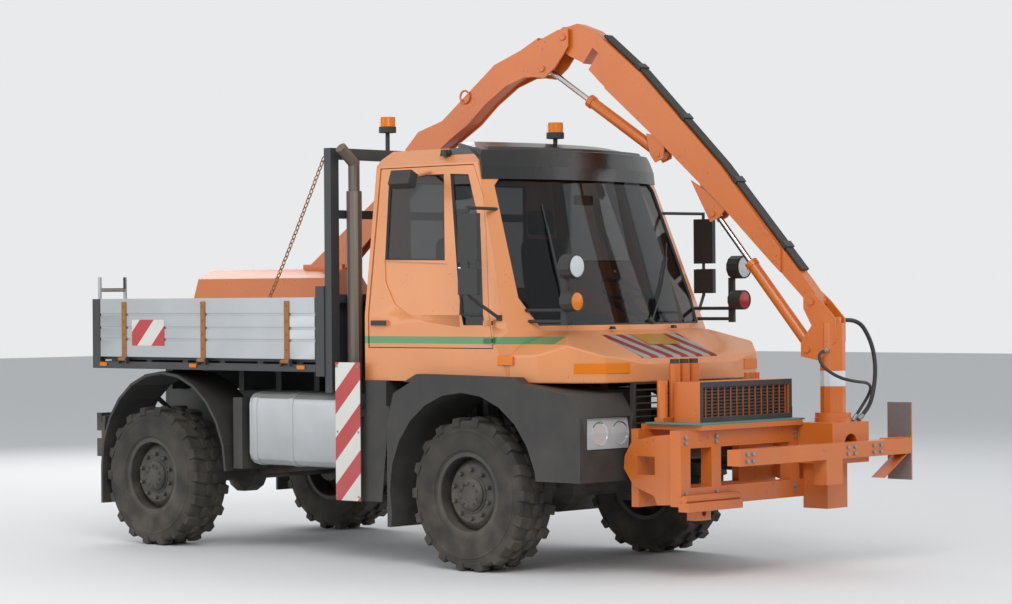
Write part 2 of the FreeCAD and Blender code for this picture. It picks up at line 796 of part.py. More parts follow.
def front_fender(side):
    """A black wing with its wheel arch, headlamp surround and rear flap."""
    front, rear = fender_tip_d, fender_rear_d
    top = cab_bottom - seat_gap
    origin = (axle_line(front), fender_tip_z)
    points = spread(fender_outline_shares, origin, rear - front, top - fender_tip_z)
    points += from_axle([(rear, fender_flap_z), (rear - fender_flap_t, fender_flap_z),
                         (rear - 2 * fender_flap_t, fender_tip_z)])
    near, far = sorted((side * fender_in, side * fender_out))
    body = side_prism(points, near, far)
    lip_near, lip_far = sorted((side * (cab_half + seat_gap), side * fender_out))
    lip_origin = (axle_line(front), top - weld_bite)
    lip = side_prism(spread(fender_lip_shares, lip_origin, rear - front, fender_wing_top - top), lip_near, lip_far)
    arch = side_prism(arc_points((front_axle_y, hub_z), fender_arch_r, 0, FULL_TURN, 2 * wing_flat_count)[:-1],
                      near - cut_over, far + cut_over)
    pocket = side_box(side, headlamp_in, headlamp_out, axle_line(front) - cut_over,
                      axle_line(front + headlamp_deep), headlamp_low, headlamp_high)
    return fuse([body, lip]).cut(arch).cut(pocket).removeSplitter()


def grille():
    """Level slats between two posts, under the bonnet and between the wings."""
    y0, y1 = axle_line(grille_front_d), axle_line(grille_rear_d)
    half = fender_in - seat_gap
    pieces = [side_box(side, half - grille_post_w, half, y0, y1, grille_low, grille_high) for side in (-1, 1)]
    pitch = (grille_high - grille_low - grille_slat_t) / (grille_slat_count - 1)
    for n in range(grille_slat_count):
        z = grille_low + n * pitch
        pieces.append(box(-half, half, y0, y0 + grille_slat_w, z, z + grille_slat_t))
    pieces.append(box(-grille_post_w / 2, grille_post_w / 2, y0, y1, grille_low, grille_high))
    return fuse(pieces)


# Visor over the windscreen
visor_lip_d = -224.0
visor_lip_z = 2700.0
visor_front_d = -215.0
visor_front_z = 2790.0
visor_brow_d = -170.0
visor_brow_z = 2905.0
visor_crown_d = 120.0
visor_crown_z = 2975.0
visor_rear_d = 330.0
visor_tail_d = 420.0
visor_half = 930.0
visor_turn_angle = 27.0
visor_arch_shares = [(0, 1), (0.753, 0.95), (0.925, 0.78), (1, 0.52), (1, 0)]


def roof_visor():
    """The dark brow over the windscreen: a profile swept along the screen's bow."""
    rise = (visor_lip_z - screen_base_z) * screen_slope_share
    axis_y = axle_line(screen_base_d + rise) + screen_bow_r
    profile = from_axle([(visor_lip_d, visor_lip_z), (visor_front_d, visor_front_z), (visor_brow_d, visor_brow_z),
                         (visor_crown_d, visor_crown_z), (visor_rear_d, visor_crown_z - weld_bite),
                         (visor_tail_d, cab_top), (visor_tail_d, visor_front_z), (visor_crown_d, visor_lip_z)])
    wire = Part.makePolygon([V(0, y, z) for y, z in profile + profile[:1]])
    face = turned(Part.Face(wire), V(0, axis_y, 0), UP, -visor_turn_angle)
    brow = face.revolve(V(0, axis_y, 0), UP, 2 * visor_turn_angle)
    deep = visor_crown_z - visor_lip_z + 2 * cut_over
    arch = [(s * visor_half, visor_lip_z - cut_over + t * deep) for s, t in visor_arch_shares]
    front = front_prism(even(arch), axle_line(visor_lip_d) - cut_over, axle_line(visor_tail_d) + cut_over)
    return brow.common(front).cut(cab_solid(-seat_gap)).removeSplitter()


# Beacons
beacon_stem_r = 16.0
beacon_skirt_r = 62.0
beacon_skirt_h = 45.0
beacon_dome_r = 56.0
beacon_dome_h = 70.0
visor_beacon_pole = 40.0
visor_beacon_d = 150.0
post_beacon_pole = 130.0
post_beacon_x = -530.0


def beacon(x, y, z, pole):
    """An amber beacon on a short pole."""
    top = z + pole + beacon_skirt_h
    stem = bar((x, y, z), (x, y, z + pole + weld_bite), beacon_stem_r)
    skirt = bar((x, y, z + pole), (x, y, top), beacon_skirt_r)
    dome = bar((x, y, top - weld_bite), (x, y, top + beacon_dome_h), beacon_dome_r)
    return fuse([stem, skirt, dome])


def beacons():
    """One on the visor and one on the headboard's beam."""
    ahead = beacon(0, axle_line(visor_beacon_d), visor_crown_z + seat_gap, visor_beacon_pole)
    behind = beacon(post_beacon_x, headboard_front_y + headboard_t / 2, headboard_top + seat_gap, post_beacon_pole)
    return group([ahead, behind])


# Cab interior
dash_half = 930.0
dash_shares = [(0.19, 0), (0, 0.861), (0.72, 1), (1, 0.722), (0.81, 0)]
dash_front_d = -560.0
dash_rear_d = -240.0
dash_low = 1336.0
dash_top = 1700.0
driver_x = 450.0
wheel_d = -130.0
wheel_z = 1875.0
wheel_ring_r = 229.0
wheel_ring_w = 28.0
wheel_tilt_angle = 38.0
wheel_hub_r = 42.0
wheel_spoke_r = 13.0
steer_column_r = 28.0
steer_column_front_d = -400.0
steer_column_low = 1570.0
seat_d = 420.0
seat_half = 250.0
seat_base_half = 160.0
seat_top = 1760.0
cushion_t = 120.0
back_t = 110.0
back_top = 2330.0
back_rake = 90.0
head_half = 130.0
head_h = 200.0


def dashboard():
    """The dash across the cab with the steering wheel on its column."""
    reach, rise = dash_rear_d - dash_front_d, dash_top - dash_low
    outline = spread(dash_shares, (axle_line(dash_front_d), dash_low), reach, rise)
    panel = side_prism(outline, -dash_half, dash_half).common(cab_solid(cab_wall + seat_gap))
    root = (driver_x, axle_line(steer_column_front_d), steer_column_low)
    place = (driver_x, axle_line(wheel_d), wheel_z)
    column = bar(root, place, steer_column_r)
    inner = wheel_ring_r - wheel_ring_w
    half = wheel_ring_w / 2
    ring = facet_ring([(-half, inner), (-half, wheel_ring_r), (half, wheel_ring_r), (half, inner)], (0, 0, 0),
                      rim_facet_count)
    ring = turned(turned(ring, V(0, 0, 0), REAR, -90), V(0, 0, 0), LEFT, wheel_tilt_angle)
    ring.translate(V(*place))
    reach = inner + half
    spokes = bar((driver_x - reach, *place[1:]), (driver_x + reach, *place[1:]), wheel_spoke_r)
    way = (V(*place) - V(*root)).normalize() * wheel_hub_r
    hub = bar(tuple(V(*place) - way), tuple(V(*place) + way / 2), wheel_hub_r)
    return fuse([panel, column, ring, spokes, hub])


def seat(x):
    """A seat with its pedestal, cushion, back and headrest."""
    y0, y1 = axle_line(seat_d) - seat_half, axle_line(seat_d) + seat_half
    low = seat_top - cushion_t
    back_rear = y1 + back_t + back_rake
    rest = seat_half - beacon_stem_r
    middle = axle_line(seat_d)
    pieces = [
        box(x - seat_base_half, x + seat_base_half, middle - seat_base_half, middle + seat_base_half,
            cab_bottom + cab_wall, low),
        box(x - seat_half, x + seat_half, y0, y1, low, seat_top),
        side_prism([(y1 - back_t, low), (y1 + cut_over, low), (back_rear, back_top), (back_rear - back_t, back_top)],
                   x - rest, x + rest),
        side_prism([(back_rear - back_t, back_top - cut_over), (back_rear - cut_over, back_top - cut_over),
                    (back_rear, back_top + head_h), (back_rear - back_t + cut_over, back_top + head_h)],
                   x - head_half, x + head_half),
    ]
    return fuse(pieces)


def seats():
    """Driver's seat on the left and a passenger's on the right."""
    return group([seat(driver_x), seat(-driver_x)])


# Mirrors
mirror_out = 205.0
mirror_d = -165.0
mirror_t = 36.0
mirror_front = 120.0
mirror_rear = 60.0
mirror_head_h = 330.0
mirror_heads_gap = 40.0
wide_head_low = 1900.0
wide_head_h = 180.0
mirror_bar_r = 11.0
mirror_bar_ahead = 20.0
mirror_bar_below = 20.0
mirror_bar_above = 50.0
wide_head_top = wide_head_low + wide_head_h
mirror_head_low = wide_head_top + mirror_heads_gap
mirror_head_top = mirror_head_low + mirror_head_h
mirror_bar_low = wide_head_low - mirror_bar_below
mirror_bar_top = mirror_head_top + mirror_bar_above
mirror_root_d = -95.0
mirror_foot_d = -284.0
mirror_foot_z = 1740.0
mirror_foot_half = 20.0
mirror_foot_t = 14.0


def mirror(side):
    """Two mirror heads on a tube arm with its foot under the door's corner."""
    x, y = side * (cab_half + mirror_out), axle_line(mirror_d)
    near, far, r = x - mirror_t / 2, x + mirror_t / 2, mirror_bar_r
    heads = [box(near, far, y - mirror_front, y + mirror_rear, low, top)
             for low, top in ((mirror_head_low, mirror_head_top), (wide_head_low, wide_head_top))]
    bar_y = y - mirror_bar_ahead
    upright = bar((x, bar_y, mirror_bar_low), (x, bar_y, mirror_bar_top), r)
    z = mirror_bar_top - r
    top = bar((x, bar_y, z), (side * (roof_half - cab_wall), axle_line(mirror_root_d), z), r)
    foot_y = axle_line(mirror_foot_d)
    face = cab_half + seat_gap
    foot = side_box(side, face, face + mirror_foot_t, foot_y - mirror_foot_half, foot_y + mirror_foot_half,
                    mirror_foot_z - mirror_foot_half, mirror_foot_z + mirror_foot_half)
    low = bar((x, bar_y, mirror_bar_low + r), (side * (face + mirror_foot_t / 2), foot_y, mirror_foot_z), r)
    return fuse(heads + [upright, top.cut(cab_solid(-seat_gap)), low, foot])


def mirrors():
    """The mirrors on both sides."""
    return group([mirror(side) for side in (-1, 1)])


# Work lamps beside the windscreen's foot
cluster_in = 155.0
cluster_d = -760.0
cluster_plate_half = 12.0
cluster_plate_deep = 50.0
cluster_low = 1690.0
cluster_high = 2010.0
cluster_tube_r = 12.0
cluster_tube_zs = (1715.0, 1790.0)
upper_lamp_r = 82.0
upper_lamp_z = 2085.0
lower_lamp_r = 70.0
lower_lamp_z = 1850.0
lamp_body = 85.0


def lamp_cluster(side):
    """Work lamps on a bracket that two tubes carry from the cab's corner."""
    x, y = side * (cab_half - cluster_in), axle_line(cluster_d)
    half, back = cluster_plate_half, y + cluster_plate_deep
    bracket = box(x - half, x + half, y, back, cluster_low, cluster_high)
    upper = bar((x, y - lamp_body, upper_lamp_z), (x, y + half, upper_lamp_z), upper_lamp_r)
    lower = bar((x, y - lamp_body, lower_lamp_z), (x, y + half, lower_lamp_z), lower_lamp_r)
    tubes = []
    for z in cluster_tube_zs:
        root = axle_line(bonnet_rear_d)
        tubes.append(bar((x, y + cluster_plate_deep / 2, z), (x, root, z), cluster_tube_r).cut(cab_solid(-seat_gap)))
    return fuse([bracket, upper, lower] + tubes)


def lamp_clusters():
    """Both brackets with their lamps."""
    return group([lamp_cluster(side) for side in (-1, 1)])


# Steps below the doors
step_in = 620.0
step_out = 1090.0
step_places = [(880.0, 1080.0), (930.0, 780.0), (960.0, 450.0)]
step_half = 120.0
step_t = 40.0
step_top_z = 1100.0
step_top_front_d = 790.0
step_top_rear_d = 1000.0
step_stay_low = 820.0
step_stay_t = 60.0
step_cheek_shares = [(0, 1), (0.94, 1), (1, 0), (0.235, 0)]
step_cheek_front_d = 760.0
step_cheek_rear_d = 1100.0
step_cheek_low = 440.0


def cab_steps(side):
    """Three treads between two cheeks below the door, behind the front wheel."""
    treads = [side_box(side, step_in, step_out, axle_line(d) - step_half, axle_line(d) + step_half, z, z + step_t)
              for d, z in step_places]
    cheek = spread(step_cheek_shares, (axle_line(step_cheek_front_d), step_cheek_low),
                   step_cheek_rear_d - step_cheek_front_d, step_top_z - step_cheek_low)
    cheeks = [side_prism(cheek, *sorted((side * x, side * (x + plate_t)))) for x in (step_in, step_out - plate_t)]
    middle = axle_line(step_places[0][0])
    stay = side_box(side, rail_out, step_in + cut_over, middle - step_stay_t / 2, middle + step_stay_t / 2,
                    step_stay_low, step_stay_low + step_stay_t)
    top = side_box(side, step_in, step_out, axle_line(step_top_front_d), axle_line(step_top_rear_d),
                   step_top_z, cab_bottom)
    return fuse(treads + cheeks + [stay, top])


# Rear wings
rear_wing_ahead = 150.0
rear_wing_z = 600.0
rear_wing_r = 735.0
rear_wing_t = 22.0
rear_wing_in = 720.0
rear_wing_out = 1120.0
rear_flap_z = 300.0
wing_stay_share = 0.7
wing_stay_rise_share = 0.72
wing_stay_z = 850.0
wing_stay_r = 18.0


def rear_fender(side):
    """A black wing over the rear wheel, with its flap and its stay."""
    near, far = sorted((side * rear_wing_in, side * rear_wing_out))
    y, z = rear_axle_y - rear_wing_ahead, rear_wing_z
    inner = rear_wing_r - rear_wing_t
    outline = arc_points((y, z), rear_wing_r, 0, 180, wing_flat_count)
    outline += arc_points((y, z), inner, 180, 0, wing_flat_count)
    wing = side_prism(outline, near, far)
    flap = box(near, far, y + inner, y + rear_wing_r, rear_flap_z, z)
    stay_y = y + inner * wing_stay_share
    stay = bar((side * rail_x, stay_y, wing_stay_z),
               (side * (rear_wing_in + cut_over), stay_y, z + inner * wing_stay_rise_share), wing_stay_r)
    face = rail_out + seat_gap
    stay = stay.cut(box(-face, face, stay_y - 2 * wing_stay_r, stay_y + 2 * wing_stay_r, rail_bottom, cab_top))
    return fuse([wing, flap, stay])


# Tanks
tank_in = 560.0
tank_out = 1060.0
tank_low = 655.0
tank_high = 1190.0
tank_round = 85.0
tank_front_d = 1160.0
tank_wing_gap = 200.0
fuel_rear_d = wheelbase - rear_wing_ahead - rear_wing_r - tank_wing_gap
oil_len = 840.0
strap_rise = 5.0
tank_strap_half = 25.0
tank_foot_low = 760.0
tank_foot_h = 100.0
strap_rear = 60.0
strap_pitch = 390.0


def tank(side, y0, y1):
    """A rounded tank on brackets, with its straps."""
    near, far = sorted((side * tank_in, side * tank_out))
    pieces = [front_prism(rounded(near, far, tank_low, tank_high, tank_round), axle_line(y0), axle_line(y1))]
    half = tank_strap_half
    band = rounded(near - strap_rise, far + strap_rise, tank_low - strap_rise, tank_high + strap_rise, tank_round)
    for d in (y1 - strap_rear - strap_pitch, y1 - strap_rear):
        pieces.append(front_prism(band, axle_line(d) - half, axle_line(d) + half))
        pieces.append(side_box(side, rail_out, tank_in + cut_over, axle_line(d) - half, axle_line(d) + half,
                               tank_foot_low, tank_foot_low + tank_foot_h))
    return fuse(pieces)


def tanks():
    """The fuel tank on the right and the hydraulic oil tank on the left."""
    return group([tank(-1, tank_front_d, fuel_rear_d), tank(1, tank_front_d, tank_front_d + oil_len)])


# Exhaust
exhaust_x = -980.0
exhaust_d = 1215.0
exhaust_r = 54.0
exhaust_low = 1300.0
exhaust_top = 2650.0
tail_r = 40.0
tail_bend_z = 2850.0
tail_out = 130.0
tail_rise = 110.0
exhaust_foot_low = 1205.0
exhaust_foot_front = 30.0
exhaust_foot_rear = 50.0
exhaust_foot_out = 60.0


def exhaust_stack():
    """The upright exhaust behind the cab, with its tail bent outwards."""
    x, y = exhaust_x, axle_line(exhaust_d)
    low = bar((x, y, exhaust_low), (x, y, exhaust_top), exhaust_r)
    neck = bar((x, y, exhaust_top - weld_bite), (x, y, tail_bend_z + tail_r / 2), tail_r)
    tail = bar((x + tail_r / 3, y, tail_bend_z - tail_r / 3), (x - tail_out, y, tail_bend_z + tail_rise), tail_r)
    y0, y1 = y - exhaust_foot_front, y + exhaust_foot_rear
    foot = box(x - exhaust_foot_out, rail_w / 2 - rail_x, y0, y1, exhaust_foot_low, exhaust_low + weld_bite)
    leg = box(-rail_out, rail_w / 2 - rail_x, y0, y1, rail_top + seat_gap, exhaust_low)
    return fuse([low, neck, tail, foot, leg])


# Air intake and battery boxes behind the cab
intake_left = 200.0
intake_right = -760.0
intake_front_d = 1070.0
intake_rear_d = 1240.0
intake_low = 1310.0
intake_high = 1900.0
intake_leg_half = 30.0
intake_leg_rear_d = 1180.0
intake_sill_h = 90.0
battery_front_gap = 60.0
battery_rear_gap = 40.0
battery_in = 570.0
battery_out = 1080.0
battery_low = 620.0
battery_high = 1150.0
battery_foot_low = 740.0
battery_foot_h = 80.0


def rear_cab_boxes():
    """The air intake behind the cab and flat boxes between tank and wing."""
    y0, y1, leg_y = axle_line(intake_front_d), axle_line(intake_rear_d), axle_line(intake_leg_rear_d)
    pieces = [box(intake_right, intake_left, y0, y1, intake_low, intake_high),
              box(-rail_out, rail_out, y0, leg_y, intake_low, intake_low + intake_sill_h)]
    for side in (-1, 1):
        pieces.append(side_box(side, rail_x - intake_leg_half, rail_x + intake_leg_half, y0, leg_y,
                               rail_top + seat_gap, intake_low))
    return group([fuse(pieces), battery_box()])


def battery_box():
    """The dark box between the fuel tank and the rear wing, on its bracket."""
    y0 = axle_line(fuel_rear_d) + battery_front_gap
    y1 = rear_axle_y - rear_wing_ahead - rear_wing_r - battery_rear_gap
    cover = side_box(-1, battery_in, battery_out, y0, y1, battery_low, battery_high)
    foot = side_box(-1, rail_out, battery_in + cut_over, y0, y1, battery_foot_low, battery_foot_low + battery_foot_h)
    return fuse([cover, foot])


# Bed
bed_half = 1150.0
bed_front_d = 1450.0
bed_tail = 40.0
bed_rear_d = wheelbase + rear_reach - bed_tail
bed_floor_z = 1460.0
bed_floor_t = 40.0
bed_floor_inset = 40.0
bed_beam_bottom = 1352.0
bed_beam_w = 60.0
bearer_half = 30.0
bearer_reach = 150.0
bearer_count = 6
board_top = 1890.0
board_t = 28.0
board_lift = 18.0
board_hinge_z = 1425.0
board_low = board_hinge_z + board_lift
board_groove_shares = (0.3, 0.5, 0.725)
groove_half = 9.0
groove_deep = 7.0
strap_t = 8.0
strap_w = 50.0
strap_drop = 25.0
stake_w = 90.0
stake_t = 55.0
stake_low = 1320.0
stake_top = 1970.0
gate_inset = 12.0
hinge_out = 18.0
hinge_r = 14.0
hinge_lug_t = 12.0
hinge_lug_drop = 34.0
hinge_lug_half = 12.0
hinge_lug_in = 28.0
barrel_half = 40.0
side_hinge_shares = (0.12, 0.5, 0.88)
gate_hinge_share = 0.61
sub_top = 1180.0
beam_top = board_hinge_z - 20.0
bed_front_y = axle_line(bed_front_d)
bed_rear_y = axle_line(bed_rear_d)
side_y0 = bed_front_y + running_gap
side_y1 = bed_rear_y - stake_w - running_gap
gate_y = bed_rear_y - gate_inset
gate_half = bed_half - stake_t - running_gap


def side_hinge_places(side):
    """The hinges of a drop side: centre and line."""
    return [(V(side * (bed_half + hinge_out), side_y0 + (side_y1 - side_y0) * share, board_hinge_z), REAR)
            for share in side_hinge_shares]


def gate_hinge_places():
    """The tailgate's hinges: centre and line."""
    reach = bed_half * gate_hinge_share
    return [(V(x, gate_y + hinge_out, board_hinge_z), LEFT) for x in (-reach, 0.0, reach)]


def hinge_feet(place, inward):
    """Two lugs on the bed's beam that hold a drop side's barrel between them."""
    centre, line = place
    half = barrel_half + seat_gap
    pieces = []
    corners = [(hinge_lug_half, hinge_lug_half), (hinge_lug_half, -hinge_lug_drop),
               (-hinge_lug_in, -hinge_lug_drop), (-hinge_lug_in, beam_top - board_hinge_z),
               (-hinge_lug_half, hinge_lug_half)]
    for start in (half, -half - hinge_lug_t):
        base = centre + line * start
        ring = [base - inward * across + UP * rise for across, rise in corners]
        pieces.append(Part.Face(Part.makePolygon(ring + ring[:1])).extrude(line * hinge_lug_t))
    return pieces


def hinge_strap(place, inward, face):
    """A drop side's strap with its hinge barrel."""
    centre, line = place
    start = centre - line * barrel_half
    barrel = bar(tuple(start), tuple(start + line * (2 * barrel_half)), hinge_r)
    base = centre - line * (strap_w / 2)
    out = face - strap_t
    corners = [(face, board_top - strap_drop - board_hinge_z), (out, board_top - strap_drop - board_hinge_z),
               (out, hinge_r), (0, hinge_r), (0, 0), (face - weld_bite, board_lift), (face, board_lift)]
    ring = [base + inward * across + UP * rise for across, rise in corners]
    return [barrel, Part.Face(Part.makePolygon(ring + ring[:1])).extrude(line * strap_w)]


def bed_platform():
    """Floor, outer beams, cross bearers, rear stakes and the hinges' feet, on two runners over the rails."""
    y0, y1, half = bed_front_y, bed_rear_y, bed_half
    floor = box(-half + bed_floor_inset, half - bed_floor_inset, y0, gate_y - board_t - running_gap,
                bed_floor_z - bed_floor_t, bed_floor_z)
    runners = [side_box(side, rail_out - rail_w, rail_out, y0, y1 - bed_beam_w, rail_top,
                        sub_top - weld_bite - seat_gap) for side in (-1, 1)]
    pieces = [floor]
    pieces += [side_box(side, half - bed_beam_w, half, y0, y1, bed_beam_bottom, beam_top) for side in (-1, 1)]
    pieces += [box(-half, half, y, y + bed_beam_w, bed_beam_bottom, beam_top) for y in (y0, y1 - bed_beam_w)]
    for n in range(bearer_count):
        y = y0 + (y1 - y0) * (n + 0.5) / bearer_count
        pieces.append(box(-half + bed_floor_inset, half - bed_floor_inset, y - bearer_half, y + bearer_half,
                          bed_beam_bottom, bed_floor_z - bed_floor_t))
        pieces.append(box(-rail_x - bearer_reach, rail_x + bearer_reach, y - bearer_half, y + bearer_half,
                          sub_top - weld_bite, bed_beam_bottom))
    for side in (-1, 1):
        pieces.append(side_box(side, half - stake_t, half, y1 - stake_w, y1, bed_beam_bottom, board_top))
        pieces += [foot for place in side_hinge_places(side) for foot in hinge_feet(place, V(-side, 0, 0))]
    pieces += [foot for place in gate_hinge_places() for foot in hinge_feet(place, V(0, -1, 0))]
    return group([fuse(pieces)] + runners)


def bed_front_wall():
    """The bed's front wall between its two taller stakes."""
    y1 = bed_front_y - seat_gap
    y0 = y1 - stake_w
    pieces = [side_box(side, bed_half - stake_t, bed_half, y0, y1, stake_low, stake_top) for side in (-1, 1)]
    wall_y = y0 + (stake_w - bed_floor_t) / 2
    inner = bed_half - stake_t + weld_bite
    pieces.append(box(-inner, inner, wall_y, wall_y + bed_floor_t, bed_floor_z - bed_floor_t, board_top))
    pieces.append(box(-inner, inner, wall_y, y1, bed_beam_bottom, bed_floor_z - bed_floor_t))
    return fuse(pieces)


def grooves(z_of, x0, x1, y0, y1):
    """The long grooves between a drop side's planks."""
    return [box(x0, x1, y0, y1, z - groove_half, z + groove_half) for z in z_of]


def groove_heights():
    """The heights of the grooves on a drop side."""
    return [board_low + (board_top - board_low) * share for share in board_groove_shares]


def sideboard(side):
    """A ribbed drop side with its straps and hinge barrels."""
    board = side_box(side, bed_half - board_t, bed_half, side_y0, side_y1, board_low, board_top)
    near, far = sorted((side * (bed_half - groove_deep), side * (bed_half + cut_over)))
    for cut in grooves(groove_heights(), near, far, side_y0 - cut_over, side_y1 + cut_over):
        board = board.cut(cut)
    straps = [piece for place in side_hinge_places(side) for piece in hinge_strap(place, V(-side, 0, 0), hinge_out)]
    return fuse([board] + straps)


ladder_in = 820.0
ladder_out = 1100.0
ladder_low = 1520.0
ladder_high = 2060.0
ladder_rung_z = 1960.0
ladder_r = 14.0


def gate_ladder():
    """Two short posts and a rung on the tailgate's outer face, by the right corner."""
    y = gate_y + ladder_r
    out = min(ladder_out, gate_half - ladder_r)
    posts = [bar((-x, y, ladder_low), (-x, y, ladder_high), ladder_r) for x in (ladder_in, out)]
    rung = bar((-out, y, ladder_rung_z), (-ladder_in, y, ladder_rung_z), ladder_r)
    return posts + [rung]


def tailgate():
    """The rear drop side, with the low ladder fixed to it."""
    board = box(-gate_half, gate_half, gate_y - board_t, gate_y, board_low, board_top)
    for cut in grooves(groove_heights(), -gate_half - cut_over, gate_half + cut_over, gate_y - groove_deep,
                       gate_y + cut_over):
        board = board.cut(cut)
    straps = [piece for place in gate_hinge_places() for piece in hinge_strap(place, V(0, -1, 0), hinge_out)]
    return fuse([board] + straps + gate_ladder())


# Headboard
headboard_t = 70.0
headboard_half = 1140.0
headboard_post_x = 1100.0
headboard_post_half = 40.0
headboard_low = 1205.0
headboard_top = 2960.0
headboard_beam_h = 80.0
headboard_bar_zs = (1330.0, 1850.0, 2455.0)
headboard_bar_h = 60.0
headboard_foot_h = 95.0
headboard_rear_y = bed_front_y - stake_w - 2 * seat_gap
headboard_front_y = headboard_rear_y - headboard_t


def headboard():
    """Two posts and a top beam in front of the bed, with three bars between them."""
    y0, y1, inset = headboard_front_y, headboard_rear_y, plate_t
    pieces = [box(-headboard_half, headboard_half, y0, y1, headboard_top - headboard_beam_h, headboard_top)]
    pieces += [box(-headboard_post_x, headboard_post_x, y0 + inset, y1 - inset, z, z + headboard_bar_h)
               for z in headboard_bar_zs]
    for side in (-1, 1):
        half = headboard_post_half
        pieces.append(side_box(side, headboard_post_x - half, headboard_post_x + half, y0, y1,
                               headboard_low, headboard_top))
        pieces.append(side_box(side, rail_out - rail_w, headboard_half, y0, y1,
                               headboard_low, headboard_low + headboard_foot_h))
        pieces.append(side_box(side, rail_out - rail_w, rail_out, y0, y1, rail_top + seat_gap,
                               headboard_low + weld_bite))
    return fuse(pieces)


# Rear lamps, side markers and marker boards
lamp_rail_front = 60.0
lamp_rail_rear = 20.0
lamp_rail_h = 55.0
lamp_leg_half = 35.0
lamp_in = 800.0
lamp_out = 1085.0
lamp_low = 860.0
lamp_high = 1000.0
lamp_deep = 35.0
lower_lamp_low = 660.0
lower_lamp_high = 800.0
lower_lamp_in = 900.0
marker_ds = (1600.0, 2790.0, 3850.0)
marker_half = 40.0
marker_low = 1370.0
marker_h = 28.0
marker_t = 10.0


def rear_lamps():
    """A cross bar under the bed with the lamps' clusters, and the side markers on its beams."""
    y = bed_rear_y
    foot_z = rail_top + seat_gap
    half = lamp_out - weld_bite
    y0, y1 = y - lamp_rail_front, y - lamp_rail_rear
    pieces = [box(-half, half, y0, y1, foot_z, foot_z + lamp_rail_h)]
    for side in (-1, 1):
        pieces.append(side_box(side, rail_x - lamp_leg_half, rail_x + lamp_leg_half, y0, y1, foot_z,
                               bed_beam_bottom - seat_gap))
        pieces.append(side_box(side, lamp_in, lamp_out, y1, y + lamp_deep, lamp_low, lamp_high))
        pieces.append(side_box(side, lower_lamp_in, lamp_out, y1, y + lamp_deep, lower_lamp_low, lower_lamp_high))
        pieces.append(side_box(side, lamp_out - marker_half, lamp_out, y0, y1, lower_lamp_low, foot_z + weld_bite))
    markers = [side_box(side, bed_half + seat_gap, bed_half + seat_gap + marker_t, axle_line(d) - marker_half,
                        axle_line(d) + marker_half, marker_low, marker_low + marker_h)
               for side in (-1, 1) for d in marker_ds]
    return group([fuse(pieces)] + markers)


hazard_in = 1120.0
hazard_t = 12.0
hazard_front_d = 1010.0
hazard_rear_d = 1265.0
hazard_low = 440.0
hazard_high = 1425.0
hazard_stay_z = 1040.0
hazard_stay_h = 50.0
hazard_stay_w = 60.0


def marker_boards():
    """Striped boards beside the cab's rear, each stayed to the steps in front of it."""
    pieces = []
    y0, y1 = axle_line(hazard_front_d), axle_line(hazard_rear_d)
    for side in (-1, 1):
        board = side_box(side, hazard_in, hazard_in + hazard_t, y0, y1, hazard_low, hazard_high)
        stay = side_box(side, step_out + seat_gap, hazard_in + weld_bite, y0, y0 + hazard_stay_w,
                        hazard_stay_z, hazard_stay_z + hazard_stay_h)
        pieces.append(fuse([board, stay]))
    return group(pieces)


# Front implement frame
plate_d = -1240.0
front_plate_t = 60.0
front_plate_half = 745.0
front_plate_low = 480.0
front_plate_top = 1000.0
front_window_half = 330.0
front_window_low = 600.0
front_window_top = 880.0
slide_front_d = -1650.0
slide_t = 90.0
slide_half = 800.0
slide_low = 500.0
slide_top = 1000.0
slide_window_low = 620.0
slide_window_top = 880.0
slide_window_xs = ((-700.0, -480.0), (-380.0, 380.0), (480.0, 700.0))
octagon_x = 745.0
octagon_t = 16.0
octagon_front_d = -1600.0
octagon_rear_d = -1120.0
octagon_low = 500.0
octagon_high = 970.0
octagon_shares = [(0, 0.02), (0.40, 0), (0.46, 0.13), (0.82, 0.25), (1, 0.5), (0.98, 0.68), (0.85, 0.89),
                  (0.47, 0.97), (0.16, 1), (0, 0.83)]
octagon_window_shares = [(0.44, 0.42), (0.76, 0.42), (0.76, 0.68), (0.44, 0.68)]
ledge_right = -820.0
ledge_left = -250.0
ledge_low = 470.0
ledge_h = 60.0
ledge_out = 80.0
ledge_bar_r = 26.0
shelf_right = -640.0
shelf_left = 455.0
shelf_front_d = -1700.0
shelf_t = 30.0
manifold_t = 12.0
manifold_right = -672.0
manifold_left = 480.0
shelf_top = slide_top + shelf_t
kit_floor = shelf_top + manifold_t + 2 * seat_gap
bracket_half = 70.0
bracket_low = 400.0
bracket_x = -560.0


